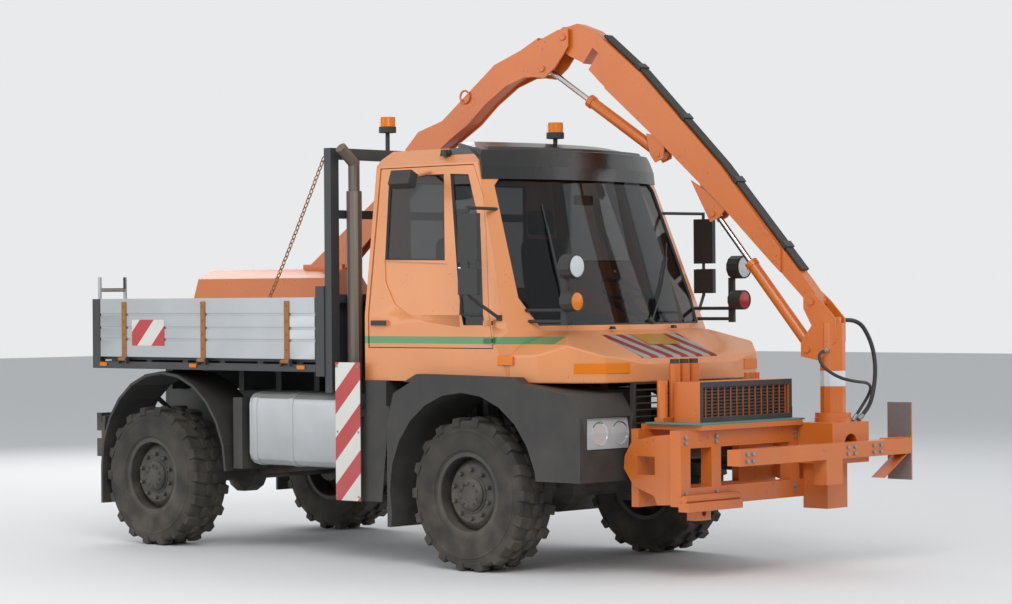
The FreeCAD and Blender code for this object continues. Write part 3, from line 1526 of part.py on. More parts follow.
def implement_frame():
    """The front plate, its eight-sided cheeks, the slide frame and the ledge that carry the boom."""
    y = axle_line(plate_d)
    back = y + front_plate_t
    face = axle_line(slide_front_d)
    beams = [side_box(side, rail_out - rail_w, rail_out, y, axle_line(rail_front_d), rail_bottom, rail_top)
             for side in (-1, 1)]
    plate = box(-front_plate_half, front_plate_half, y, back, front_plate_low, front_plate_top)
    plate = plate.cut(box(-front_window_half, front_window_half, y - cut_over, back + cut_over,
                          front_window_low, front_window_top))
    slide = box(-slide_half, slide_half, face, face + slide_t, slide_low, slide_top)
    for x0, x1 in slide_window_xs:
        slide = slide.cut(box(x0, x1, face - cut_over, face + slide_t + cut_over, slide_window_low, slide_window_top))
    reach, rise = octagon_rear_d - octagon_front_d, octagon_high - octagon_low
    origin = (axle_line(octagon_front_d), octagon_low)
    cheeks = plates(spread(octagon_shares, origin, reach, rise), octagon_x + octagon_t / 2, octagon_t)
    window = spread(octagon_window_shares, origin, reach, rise)
    hole = side_prism(window, -slide_half, slide_half).cut(box(-front_window_half * 2, front_window_half * 2,
                                                               face, back, 0, cab_bottom))
    ledge = box(ledge_right, ledge_left, face - ledge_out, face + weld_bite, ledge_low, ledge_low + ledge_h)
    bar_z = ledge_low + ledge_h + ledge_bar_r - weld_bite
    ledge_bar = bar((ledge_right, face - ledge_out / 2, bar_z), (ledge_left, face - ledge_out / 2, bar_z), ledge_bar_r)
    shelf = box(shelf_right, shelf_left, axle_line(shelf_front_d), y + front_plate_t, slide_top - weld_bite, shelf_top)
    tow = box(bracket_x - bracket_half, bracket_x + bracket_half, face, face + slide_t, bracket_low,
              slide_low + weld_bite)
    tow = tow.cut(rod((bracket_x, face - cut_over, (bracket_low + slide_low) / 2),
                      (bracket_x, face + slide_t + cut_over, (bracket_low + slide_low) / 2), pin_r))
    return fuse(beams + [plate.cut(hole), slide, ledge, ledge_bar, shelf, tow] + [c.cut(hole) for c in cheeks])


def manifold_plate():
    """The painted plate on the frame's shelf that carries the hydraulic kit."""
    low = shelf_top + seat_gap
    return box(manifold_right, manifold_left, axle_line(shelf_front_d), axle_line(plate_d), low, low + manifold_t)


# Column housing and cross beam
column_x = 670.0
column_d = -1798.0
boom_yaw_angle = 9.4
housing_half = 210.0
housing_ahead = 150.0
housing_low = 730.0
housing_top = 1010.0
arch_r = 70.0
arch_z = 860.0
arch_deep = 160.0
lower_box_right = 150.0
lower_box_left = 80.0
lower_box_ahead = 60.0
lower_box_low = 420.0
flange_r = 125.0
column_base_z = 1040.0
spigot_r = 60.0
spigot_rise = 80.0
column_y = axle_line(column_d)
beam_right = -690.0
beam_left = 1225.0
beam_low = 775.0
beam_high = 880.0
far_board_t = 12.0
far_board_low = 590.0
far_board_high = 1130.0
far_board_rear = 90.0
gusset_len = 225.0
tilt_right = 900.0
tilt_left = 1180.0
tilt_t = 10.0
tilt_low = 620.0
hang_box_x = 330.0
hang_box_half = 90.0
hang_box_h = 170.0


def column_housing():
    """The box under the column, with its arched window, lower box, flange and round spigot."""
    y = column_y
    face = axle_line(slide_front_d) - seat_gap
    body = box(column_x - housing_half, column_x + housing_half, y - housing_ahead, face, housing_low, housing_top)
    start = y - housing_ahead
    window = bar((column_x, start - cut_over, arch_z), (column_x, start + arch_deep, arch_z), arch_r)
    lower = box(column_x - lower_box_right, column_x + lower_box_left, y - lower_box_ahead, face,
                lower_box_low, housing_low + weld_bite)
    flange = bar((column_x, y, housing_top - weld_bite), (column_x, y, column_base_z - seat_gap), flange_r)
    spigot = rod((column_x, y, housing_top), (column_x, y, column_base_z + spigot_rise), spigot_r)
    return fuse([body.cut(window), lower, flange, spigot])


def cross_beam():
    """The beam across the front, with its gusset, hung box, tilted plate and far marker board."""
    y0, y1 = axle_line(-front_reach), column_y - housing_ahead - seat_gap
    beam = box(beam_right, beam_left + weld_bite, y0, y1, beam_low, beam_high)
    gusset = plan_prism([(beam_left, y0), (beam_left, y1), (beam_left - gusset_len, y1)],
                        beam_high - weld_bite, beam_high + plate_t)
    board = box(beam_left, beam_left + far_board_t, y0, y1 + far_board_rear, far_board_low, far_board_high)
    hung = box(hang_box_x - hang_box_half, hang_box_x + hang_box_half, y0, y1, beam_low - hang_box_h,
               beam_low + weld_bite)
    tilted = front_prism([(tilt_right, tilt_low), (tilt_left, beam_low + weld_bite),
                          (tilt_left + tilt_t, beam_low + weld_bite), (tilt_right + tilt_t, tilt_low)], y0, y1)
    return fuse([beam, gusset, board, hung, tilted])


# Oil cooler, filters and valves
cooler_right = -560.0
cooler_left = 440.0
cooler_front_d = -1620.0
cooler_rear_d = -1400.0
cooler_top = 1310.0
cooler_frame = 35.0
cooler_deep = 60.0
slat_t = 10.0
slat_w = 12.0
slat_count = 9
upright_w = 8.0
upright_count = 14
can_r = 38.0
can_d = -1340.0
can_xs = (-480.0, -380.0, -280.0)
can_top = 1430.0
can_cap_r = 30.0
can_cap_h = 30.0
big_can_r = 36.0
big_can_x = -610.0
big_can_top = 1320.0
can_foot_h = 30.0
valve_right = 300.0
valve_left = 450.0
valve_front_d = -1390.0
valve_rear_d = -1260.0
valve_top = 1290.0
valve_spool_r = 22.0
valve_spool_h = 60.0
valve_spool_count = 3


def oil_cooler():
    """The oil cooler: a cased core behind a lattice of slats and uprights."""
    y0, y1 = axle_line(cooler_front_d), axle_line(cooler_rear_d)
    in0, in1 = cooler_right + cooler_frame, cooler_left - cooler_frame
    low, high = kit_floor + cooler_frame, cooler_top - cooler_frame
    case = box(cooler_right, cooler_left, y0, y1, kit_floor, cooler_top)
    case = case.cut(box(in0, in1, y0 - cut_over, y0 + cooler_deep, low, high))
    pieces = [case]
    for n in range(slat_count):
        z = low + (high - low) * (n + 0.5) / slat_count
        pieces.append(box(in0 - weld_bite, in1 + weld_bite, y0 + slat_w, y0 + 2 * slat_w, z, z + slat_t))
    for n in range(upright_count):
        x = in0 + (in1 - in0) * (n + 0.5) / upright_count
        pieces.append(box(x, x + upright_w, y0 + plate_t / 2, y0 + slat_w - seat_gap, low - weld_bite,
                          high + weld_bite))
    return fuse(pieces)


def hydraulic_filters():
    """Three filter cans with caps on their foot, a taller filter and a valve block with its spools."""
    y = axle_line(can_d)
    foot_top = kit_floor + can_foot_h
    pieces = [box(big_can_x - can_r, can_xs[-1] + can_r, y - can_r, y + can_r, kit_floor, foot_top)]
    for x in can_xs:
        pieces.append(bar((x, y, foot_top - weld_bite), (x, y, can_top), can_r))
        pieces.append(bar((x, y, can_top - weld_bite), (x, y, can_top + can_cap_h), can_cap_r))
    pieces.append(bar((big_can_x, y, foot_top - weld_bite), (big_can_x, y, big_can_top), big_can_r))
    y0, y1 = axle_line(valve_front_d), axle_line(valve_rear_d)
    valve = [box(valve_right, valve_left, y0, y1, kit_floor, valve_top)]
    for n in range(valve_spool_count):
        x = valve_right + (valve_left - valve_right) * (n + 0.5) / valve_spool_count
        middle = (y0 + y1) / 2
        valve.append(bar((x, middle, valve_top - weld_bite), (x, middle, valve_top + valve_spool_h), valve_spool_r))
    return group([fuse(pieces), fuse(valve)])


# Boom linkage, in the boom's own upright plane: u runs back from the column's axis
base_u = 120.0
base_z = 1836.0
elbow_rise = 1931.0
elbow_span_share = 0.588
head_pin_z = 2800.0
lift_pin_ahead = 35.0
lift_pin_drop = 330.0
lift_eye_shares = (0.3917, 0.3226)
fold_pin_shares = (0.6158, 0.5474)
fold_eye_shares = (0.1292, 0.2275)
head_len = 1310.0
head_gate_gap = 319.0
head_arm_reach = 620.0
head_half = 320.0
head_rise = 15.0
head_tall = 635.0
boom_half = 75.0
arm_half = 92.0
eye_half = 58.0
cheek_wall = 18.0
arm_wall = 16.0
ram_r = 41.0
ram_rod_r = 21.0
gland_grow = 7.0
gland_len = 40.0
ram_eye_half = 32.0
ram_eye_r = 42.0
ram_root = 36.0
ram_bottom = 70.0
ram_inside = 330.0
lift_drift = 26.0
fold_drift = 42.0
lift_share = 0.64
fold_share = 0.632
lug_inner = 46.0
lug_outer = 62.0
foot_boss_r = 48.0
elbow_boss_r = 78.0
column_r = 86.0
column_top = 1690.0
column_cap_r = 60.0
column_cap_h = 40.0
column_flange_r = 122.0
column_flange_h = 34.0
gate_plane_u = gate_y - board_t - head_gate_gap - column_y
head_u1 = gate_plane_u / math.cos(math.radians(boom_yaw_angle)) - head_half * math.tan(
    math.radians(boom_yaw_angle))
head_u0 = head_u1 - head_len
head_low = bed_floor_z + head_rise
head_high = head_low + head_tall
head_pin = (head_u0 - head_arm_reach, head_pin_z)
span = head_pin[0] - base_u
base_pin = (base_u, base_z)
elbow_pin = (base_u + span * elbow_span_share, base_z + elbow_rise)
boom_reach, boom_rise = elbow_pin[0] - base_u, elbow_rise
arm_reach, arm_drop = head_pin[0] - elbow_pin[0], head_pin_z - elbow_pin[1]
lift_pin = (base_u + lift_pin_ahead, base_z - lift_pin_drop)
lift_eye = (base_u + boom_reach * lift_eye_shares[0], base_z + boom_rise * lift_eye_shares[1])
fold_pin = (base_u + boom_reach * fold_pin_shares[0], base_z + boom_rise * fold_pin_shares[1])
fold_eye = (elbow_pin[0] + arm_reach * fold_eye_shares[0], elbow_pin[1] + arm_drop * fold_eye_shares[1])

cheek_back = 60.0
cheek_low_z = 1430.0
cheek_mid_z = 1560.0
cheek_top_z = 1720.0
cheek_round = 48.0
foot_round = 62.0


def in_boom_plane(shape):
    """From the boom's own plane to its place on the vehicle."""
    placed = turned(shape, V(0, 0, 0), UP, boom_yaw_angle)
    placed.translate(V(column_x, column_y, 0))
    return placed


def pin_bush(pin, half, r):
    """A boss of flats about a pin."""
    return bar((-half, *pin), (half, *pin), r)


def pin_bore(pin, half):
    """The bore for a pin, right through."""
    return rod((-half - cut_over, *pin), (half + cut_over, *pin), pin_r + pin_gap)


def end_caps(pin, outer):
    """The pin's ends on the outside of a pair of lugs."""
    return [rod((s * (outer - weld_bite), *pin), (s * (outer + pin_head), *pin), pin_r) for s in (-1, 1)]


def column():
    """The slewing column with the plates for the boom's foot and its ram."""
    post = bar((0, 0, column_base_z), (0, 0, column_top), column_r)
    flange = bar((0, 0, column_base_z), (0, 0, column_base_z + column_flange_h), column_flange_r)
    cap = bar((0, 0, column_top - weld_bite), (0, 0, column_top + column_cap_h), column_cap_r)
    lift_u, lift_z = lift_pin
    cheek = [(-cheek_back, cheek_mid_z), (cheek_back, cheek_low_z), (lift_u + cheek_round, lift_z - cheek_round),
             (lift_u + cheek_round, lift_z + cheek_round), (base_u, (lift_z + base_z) / 2),
             (base_u + foot_round, base_z - cheek_round), (base_u + foot_round, base_z + cheek_round),
             (base_u, base_z + foot_round + plate_t), (base_u - foot_round - plate_t, base_z + plate_t),
             (-cheek_back, cheek_top_z)]
    outer = eye_half + weld_bite + cheek_wall
    web = side_prism([(-cheek_back, cheek_mid_z), (0, cheek_mid_z), (0, column_top), (-cheek_back, column_top)],
                     -outer + weld_bite, outer - weld_bite)
    slot = box(-eye_half, eye_half, column_r / 3, 2 * column_r, cheek_low_z + plate_t, column_top - cheek_back)
    bore = rod((0, 0, column_base_z - cut_over), (0, 0, column_base_z + spigot_rise + cut_over), spigot_r + pin_gap)
    reach = outer + pin_head
    pins = [rod((-reach, *pin), (reach, *pin), pin_r) for pin in (base_pin, lift_pin)]
    body = fuse([post, flange, cap, web] + plates(cheek, outer, cheek_wall)).cut(slot).cut(bore)
    return in_boom_plane(fuse([body] + pins))


boom_top_shares = [(-0.02, 0.015), (0.02, 0.07), (0.355, 0.495), (0.68, 0.85), (0.875, 1.02), (0.95, 1.05),
                   (1.03, 1.03)]
boom_low_shares = [(1.055, 0.985), (0.985, 0.93), (0.93, 0.903), (0.855, 0.825), (0.595, 0.584), (0.355, 0.352),
                   (0.16, 0.145), (0.024, 0.0)]
boom_wide_shares = [(0.12, 0.105), (0.12, 0.19), (0.355, 0.495), (0.68, 0.85), (0.86, 1.005), (0.83, 0.80),
                    (0.595, 0.584), (0.355, 0.352), (0.16, 0.145)]
boom_slot_shares = [(0.86, 0.935), (0.885, 0.955), (0.945, 0.87), (0.92, 0.85)]
lift_lug_shares = [(-0.0275, -0.013), (0.01, -0.03), (0.031, 0.01), (0.0875, 0.124), (-0.06, 0.031)]
fold_lug_shares = [(-0.025, -0.0155), (0.01, -0.03), (0.03, 0), (0.045, 0.078), (-0.03, 0.062)]
slot_skin = 22.0
eye_clear = 40.0
pin_clear = 58.0


def boom():
    """The lower boom: a tapered box with an eye at each end, a side slot and two pairs of lugs."""
    body = side_prism(spread(boom_top_shares + boom_low_shares, base_pin, boom_reach, boom_rise),
                      -eye_half, eye_half)
    wide = side_prism(spread(boom_wide_shares, base_pin, boom_reach, boom_rise), -boom_half, boom_half)
    ends = [pin_bush(base_pin, eye_half, foot_boss_r), pin_bush(elbow_pin, eye_half, elbow_boss_r)]
    lugs = []
    for pin, shares in ((lift_eye, lift_lug_shares), (fold_pin, fold_lug_shares)):
        lugs += plates(spread(shares, pin, boom_reach, boom_rise), lug_outer, lug_outer - lug_inner)
    slot = side_prism(spread(boom_slot_shares, base_pin, boom_reach, boom_rise), -boom_half - cut_over,
                      boom_half + cut_over)
    core = side_prism(spread(boom_wide_shares, base_pin, boom_reach, boom_rise), slot_skin - boom_half,
                      boom_half - slot_skin)
    whole = fuse([body, wide] + ends + lugs).cut(slot.cut(core))
    for pin in (base_pin, elbow_pin):
        whole = whole.cut(pin_bore(pin, eye_half))
    for pin, r in ((lift_eye, eye_clear + lift_drift), (fold_pin, pin_clear)):
        whole = whole.cut(bar((-lug_inner, *pin), (lug_inner, *pin), r))
    reach = lug_outer + pin_head / 2
    pins = [rod((-reach, *fold_pin), (reach, *fold_pin), pin_r)] + end_caps(lift_eye, lug_outer)
    return in_boom_plane(fuse([whole] + pins))


hose_r = 11.0
hose_pitch = 28.0
hose_count = 4
hose_ride = 4.0
hose_route_shares = [(0.05, 0.11), (0.355, 0.495), (0.68, 0.85), (0.84, 0.992)]
hose_clamp_shares = (0.12, 0.31, 0.52, 0.70)
clamp_len = 50.0


def along_boom_top(share):
    """A point on the boom's top edge, a share of the boom's reach from its foot."""
    for (s0, t0), (s1, t1) in zip(hose_route_shares, hose_route_shares[1:]):
        if share <= s1:
            t = t0 + (t1 - t0) * (share - s0) / (s1 - s0)
            return V(0, base_u + share * boom_reach, base_z + t * boom_rise)


def boom_hoses():
    """Four hoses clamped along the top of the boom."""
    lift = V(0, -boom_rise, boom_reach).normalize() * (hose_r + hose_ride)
    points = [V(0, u, z) + lift for u, z in spread(hose_route_shares, base_pin, boom_reach, boom_rise)]
    pieces = []
    for n in range(hose_count):
        shift = LEFT * (hose_pitch * (n - (hose_count - 1) / 2))
        for a, b in zip(points, points[1:]):
            way = (b - a).normalize() * (hose_r / 4)
            pieces.append(bar(tuple(a + shift - way), tuple(b + shift + way), hose_r))
    for share in hose_clamp_shares:
        a, b = along_boom_top(share), along_boom_top(share + 0.01)
        way = (b - a).normalize()
        up = V(0, -way.z, way.y)
        low, high = up * (2 * seat_gap), up * (2 * hose_r + hose_ride + plate_t)
        half = way * (clamp_len / 2)
        ring = [a - half + low, a + half + low, a + half + high, a - half + high]
        outer = hose_pitch * hose_count / 2 + hose_r / 2
        clamp = side_prism([(p.y, p.z) for p in ring], -outer, outer)
        pieces.append(clamp)
    return in_boom_plane(fuse(pieces))


arm_shares = [
    (-0.03, -0.065), (0.03, -0.06), (0.36, 0.135), (0.43, 0.175), (0.71, 0.515), (0.77, 0.585), (0.925, 0.66),
    (1.01, 0.79), (1.03, 0.97), (1.0, 1.05), (0.95, 1.02), (0.80, 0.82), (0.722, 0.735), (0.60, 0.62), (0.49, 0.475),
    (0.36, 0.345), (0.245, 0.285), (0.19, 0.285), (0.12, 0.30), (0.05, 0.22), (-0.03, 0.07),
]
arm_core_shares = [(0.16, -0.01), (0.36, 0.15), (0.43, 0.19), (0.71, 0.53), (0.80, 0.66), (0.80, 0.80),
                   (0.722, 0.725), (0.60, 0.605), (0.49, 0.46), (0.36, 0.33), (0.26, 0.26), (0.17, 0.13)]


def arm():
    """The upper arm: a bent box with fork plates at both ends."""
    cheeks = plates(spread(arm_shares, elbow_pin, arm_reach, arm_drop), arm_half, arm_wall)
    inner = arm_half - arm_wall + weld_bite
    core = side_prism(spread(arm_core_shares, elbow_pin, arm_reach, arm_drop), -inner, inner)
    reach = arm_half + pin_head
    pins = [rod((-reach, *pin), (reach, *pin), pin_r) for pin in (elbow_pin, head_pin)]
    clear = bar((-lug_inner, *fold_eye), (lug_inner, *fold_eye), eye_clear + fold_drift)
    return in_boom_plane(fuse([core.cut(clear)] + cheeks + pins + end_caps(fold_eye, arm_half)))


def ram_barrel(pin, eye, share):
    """A cylinder's barrel with its eye and gland."""
    a, b = V(0, *pin), V(0, *eye)
    way = (b - a).normalize()
    length = (V(0, *eye) - a).Length * share
    end = a + way * length
    body = Part.makeCylinder(ram_r, length - ram_root, a + way * ram_root, way)
    gland = Part.makeCylinder(ram_r + gland_grow, gland_len, end - way * gland_len, way)
    eye_ring = rod((-ram_eye_half, *pin), (ram_eye_half, *pin), ram_eye_r)
    whole = fuse([body, gland, eye_ring])
    whole = whole.cut(Part.makeCylinder(ram_rod_r + pin_gap, length, a + way * ram_bottom, way))
    return in_boom_plane(whole.cut(pin_bore(pin, ram_eye_half)))


def ram_rod(pin, eye, share):
    """A cylinder's rod with its eye."""
    a, b = V(0, *pin), V(0, *eye)
    way = (b - a).normalize()
    whole = (b - a).Length
    start = whole * share - ram_inside
    stem = Part.makeCylinder(ram_rod_r, whole - start - ram_rod_r, a + way * start, way)
    return in_boom_plane(fuse([stem, rod((-ram_eye_half, *eye), (ram_eye_half, *eye), eye_clear)]))


hood_wall = 12.0
hood_rise_shares = [(-1, 0.095), (-1, 0.52), (-0.72, 0.89), (-0.19, 1), (0.375, 0.984), (0.875, 0.717), (1, 0.394),
                    (1, 0.095)]
rotor_r = 70.0
rotor_rise = 240.0
roller_r = 60.0
roller_rise = 62.0
roller_in = 90.0
skid_low = 20.0
skid_h = 100.0
skid_t = 14.0
hanger_half = 52.0
hanger_wall = 20.0
hanger_foot = 330.0
hanger_reach = 50.0
hanger_seat = 34.0
hanger_sink = 60.0
head_boss_r = 60.0
head_boss_half = 66.0


def hood_outline(inset):
    """The mower's hood seen along its rotor."""
    half, low, tall = head_half - inset, head_low, head_tall - inset
    return [(s * half, low + t * tall) for s, t in hood_rise_shares]


def mower_head():
    """The flail mower: hood, end plates, rotor, roller and its hanger."""
    u0, u1 = head_u0, head_u1
    hood = front_prism(hood_outline(0.0), u0, u1)
    inner = hood_outline(hood_wall)
    inner = [(inner[0][0], head_low - cut_over)] + inner[1:-1] + [(inner[-1][0], head_low - cut_over)]
    hood = hood.cut(front_prism(inner, u0 + hood_wall, u1 - hood_wall))
    start, stop = u0 + hood_wall / 2, u1 - hood_wall / 2
    rotor = bar((0, start, head_low + rotor_rise), (0, stop, head_low + rotor_rise), rotor_r)
    roller_x, roller_z = head_half - roller_in, head_low + roller_rise
    roller = bar((roller_x, start, roller_z), (roller_x, stop, roller_z), roller_r)
    skids = [box(-head_half, head_half, u, u + skid_t, head_low + skid_low, head_low + skid_low + skid_h)
             for u in (u0, u1 - skid_t)]
    pin_u, pin_z = head_pin
    reach = hanger_reach
    outline = [(pin_u - reach, pin_z - reach), (pin_u - reach, pin_z + reach), (pin_u + reach, pin_z + reach),
               (u0 + hanger_foot, head_high + hanger_seat), (u0 + hanger_foot, head_high - hanger_sink),
               (u0 + hanger_sink, head_high - hanger_sink)]
    hanger = plates(outline, hanger_half, hanger_wall)
    boss = pin_bush(head_pin, head_boss_half, head_boss_r)
    pad_half = hanger_half + hanger_wall
    pad = box(-pad_half, pad_half, u0 + hood_wall, u0 + hanger_foot + hanger_sink, head_high - hanger_sink,
              head_high + hanger_seat)
    whole = fuse([hood, rotor, roller] + skids + hanger + [boss, pad])
    return in_boom_plane(whole.cut(pin_bore(head_pin, head_boss_half)))


# Free hoses: the points of each route, chosen by hand
bundle_r = 15.0
bundle_route = [(759.5, -2770.0, 1700.0), (945.0, -2790.0, 1725.0), (1012.0, -2860.0, 1570.0),
                (1014.0, -2900.0, 1390.0), (985.0, -2900.0, 1210.0), (930.0, -2890.0, 1085.0),
                (845.0, -2868.0, 1023.0)]
loop_r = 11.0
loop_route = [(579.0, -2797.0, 1500.0), (450.0, -2820.0, 1490.0), (380.0, -2900.0, 1400.0),
              (440.0, -3000.0, 1320.0), (590.0, -3040.0, 1290.0), (750.0, -3020.0, 1280.0),
              (870.0, -2965.0, 1235.0), (890.0, -2890.0, 1135.0), (805.0, -2852.0, 1017.1)]
corner_share = 0.45


def cord(name, route, r):
    """A free hose: straight runs joined by arcs that touch them, with its length and radii printed."""
    points = [V(*p) for p in route]
    edges, radii, here = [], [], points[0]
    for before, corner, after in zip(points, points[1:], points[2:]):
        back, on = before - corner, after - corner
        trim = corner_share * min(back.Length, on.Length)
        start, end = corner + back.normalize() * trim, corner + on.normalize() * trim
        half_turn = (math.pi - back.getAngle(on)) / 2
        radius = trim / math.tan(half_turn)
        middle = (back.normalize() + on.normalize()).normalize()
        bulge = corner + middle * (radius / math.cos(half_turn) - radius)
        edges += [Part.makeLine(here, start), Part.Arc(start, bulge, end).toShape()]
        radii.append(radius)
        here = end
    edges.append(Part.makeLine(here, points[-1]))
    path = Part.Wire(edges)
    ring = Part.Wire(Part.makeCircle(r, points[0], points[1] - points[0]))
    tube = path.makePipeShell([ring], True, False)
    print(name, "length", round(path.Length), "radii", [round(value) for value in radii],
          "volume share", round(tube.Volume / (math.pi * r * r * path.Length), 4))
    return tube


def build():
    """Write each named sub-part."""
    parts = {
        "chassis_frame": chassis_frame(),
        "engine_and_driveline": engine_and_driveline(),
        "front_axle": front_axle(),
        "rear_axle": rear_axle(),
        "cab_shell": cab_shell(),
        "cab_glass": cab_glass(),
        "bonnet": bonnet(),
        "front_lamps": front_lamps(),
        "grille": grille(),
        "roof_visor": roof_visor(),
        "beacons": beacons(),
        "dashboard": dashboard(),
        "seats": seats(),
        "mirrors": mirrors(),
        "lamp_clusters": lamp_clusters(),
        "tanks": tanks(),
        "exhaust_stack": exhaust_stack(),
        "rear_cab_boxes": rear_cab_boxes(),
        "headboard": headboard(),
        "bed_platform": bed_platform(),
        "bed_front_wall": bed_front_wall(),
        "tailgate": tailgate(),
        "rear_lamps": rear_lamps(),
        "marker_boards": marker_boards(),
        "implement_frame": implement_frame(),
        "manifold_plate": manifold_plate(),
        "column_housing": column_housing(),
        "cross_beam": cross_beam(),
        "oil_cooler": oil_cooler(),
        "hydraulic_filters": hydraulic_filters(),
        "column": column(),
        "boom": boom(),
        "boom_hoses": boom_hoses(),
        "arm": arm(),
        "lift_barrel": ram_barrel(lift_pin, lift_eye, lift_share),
        "lift_rod": ram_rod(lift_pin, lift_eye, lift_share),
        "fold_barrel": ram_barrel(fold_pin, fold_eye, fold_share),
        "fold_rod": ram_rod(fold_pin, fold_eye, fold_share),
        "mower_head": mower_head(),
        "cord_bundle": cord("cord_bundle", bundle_route, bundle_r),
        "cord_loop": cord("cord_loop", loop_route, loop_r),
        "front_fenders": group([front_fender(s) for s in (-1, 1)]),
        "rear_fenders": group([rear_fender(s) for s in (-1, 1)]),
        "cab_steps": group([cab_steps(s) for s in (-1, 1)]),
    }
    for name, side in (("left", 1), ("right", -1)):
        parts["door_" + name] = door(side)
        parts["door_glass_" + name] = door_glass(side)
        parts["sideboard_" + name] = sideboard(side)
        parts["knuckle_" + name] = knuckle(side)
        for end, y in (("front", front_axle_y), ("rear", rear_axle_y)):
            parts["tyre_" + end + "_" + name] = tyre(side, y)
            parts["rim_" + end + "_" + name] = rim(side, y)
    for node, shape in parts.items():
        shape.exportStep("parts/" + node + ".step")
        bounds = shape.BoundBox
        print(node, len(shape.Solids), shape.isValid(), round(bounds.XMin), round(bounds.XMax),
              round(bounds.YMin), round(bounds.YMax), round(bounds.ZMin), round(bounds.ZMax))


build()
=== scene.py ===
# %% [markdown]
# A municipal truck with a mowing boom folded over its cab, dressed for a studio picture.
# The imported CAD model is the frame: every solid already sits where it belongs, in metres,
# with the ground at zero, the vehicle's front towards -Y and its left side towards +X.

# %% Load the frame
import json
import math

import bmesh
import bpy
from mathutils import Matrix, Vector
from mathutils.bvhtree import BVHTree


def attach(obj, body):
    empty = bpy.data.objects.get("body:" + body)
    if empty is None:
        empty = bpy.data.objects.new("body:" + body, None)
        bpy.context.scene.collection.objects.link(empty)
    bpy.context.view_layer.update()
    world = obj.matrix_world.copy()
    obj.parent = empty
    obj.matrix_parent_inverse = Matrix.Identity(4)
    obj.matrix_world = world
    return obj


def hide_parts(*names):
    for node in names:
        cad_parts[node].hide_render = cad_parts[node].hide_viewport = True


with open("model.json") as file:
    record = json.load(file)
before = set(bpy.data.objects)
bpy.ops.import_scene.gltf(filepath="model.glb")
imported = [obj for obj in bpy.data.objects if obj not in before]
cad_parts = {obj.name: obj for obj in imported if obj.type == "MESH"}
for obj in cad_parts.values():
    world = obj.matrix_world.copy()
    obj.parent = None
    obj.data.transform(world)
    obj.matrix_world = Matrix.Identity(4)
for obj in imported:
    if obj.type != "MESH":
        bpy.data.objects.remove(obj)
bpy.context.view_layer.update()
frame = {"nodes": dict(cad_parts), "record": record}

MM = 0.001
nodes_of = frame["record"]["behaviour"]["bodies"]
body_of_node = {name: body for body, names in nodes_of.items() for name in names}

# %% [markdown]
# The camera and the light come first. The photograph was taken from far away with a long lens,
# at a standing person's height, from the vehicle's front right, so lines that run back stay
# almost parallel. A camera's own axes are right, up and backwards, so its matrix is written
# from the direction it looks along, with a small roll about that direction.

# %% Camera
CAMERA_PLACE = Vector((-14.932, -14.252, 1.881))
YAW, PITCH, ROLL = 42.974, -0.098, -0.409
LENS_MM, SENSOR_MM, VIEW_END = 99.49, 36.0, 200.0


def camera_axes(yaw, pitch, roll):
    """Right, up and backward directions of a camera, from its angles in degrees."""
    a, p, r = (math.radians(v) for v in (yaw, pitch, roll))
    ahead = Vector((math.cos(a) * math.cos(p), math.sin(a) * math.cos(p), math.sin(p)))
    right = ahead.cross(Vector((0, 0, 1))).normalized()
    up = right.cross(ahead)
    rolled_right = right * math.cos(r) + up * math.sin(r)
    rolled_up = up * math.cos(r) - right * math.sin(r)
    return rolled_right, rolled_up, -ahead


camera_data = bpy.data.cameras.new("Camera")
camera_data.lens = LENS_MM
camera_data.sensor_width = SENSOR_MM
camera_data.clip_end = VIEW_END
camera = bpy.data.objects.new("Camera", camera_data)
axes = Matrix(camera_axes(YAW, PITCH, ROLL)).transposed()
camera.matrix_world = Matrix.Translation(CAMERA_PLACE) @ axes.to_4x4()
bpy.context.scene.collection.objects.link(camera)
bpy.context.scene.camera = camera
print("camera stands", round(CAMERA_PLACE.length, 2), "m from the middle of the truck")

# %% [markdown]
# Three small tools serve the whole file. Shaders work in linear light while colours are picked
# as sRGB hex, so one function converts them. Another adds a node with its settings and links,
# and the third puts a mesh into the scene.

# %% Small tools for objects and colours


def linear(text, alpha=1.0):
    """An sRGB hex colour as the linear values that shaders read."""
    values = [int(text[i:i + 2], 16) / 255 for i in (0, 2, 4)]
    return tuple(v / 12.92 if v <= 0.04045 else ((v + 0.055) / 1.055) ** 2.4 for v in values) + (alpha,)


def add(tree, kind, inputs=None, **settings):
    """One node with its settings; an input is a value or another node's output."""
    made = tree.nodes.new(kind)
    for key, value in settings.items():
        setattr(made, key, value)
    for key, value in (inputs or {}).items():
        socket = made.inputs[key]
        if isinstance(value, bpy.types.NodeSocket):
            tree.links.new(value, socket)
        else:
            socket.default_value = value
    return made


def keep(name, mesh, *materials):
    """A mesh as an object in the scene."""
    obj = bpy.data.objects.new(name, mesh)
    for material in materials:
        obj.data.materials.append(material)
    bpy.context.scene.collection.objects.link(obj)
    return obj


# %% [markdown]
# A studio floor is one large plane. It is pale, so that the black tyres and wings keep their
# outline, and it takes the truck's soft shadow. Four large area lamps stand for the bright
# cloudy sky of the photograph: large lamps give soft edges to every shadow. The world adds a
# weak even light. Rays from the camera, and those that a mirror or a pane sends on, see a pale
# backdrop in its place, so that metal and glass show the same studio as the picture.

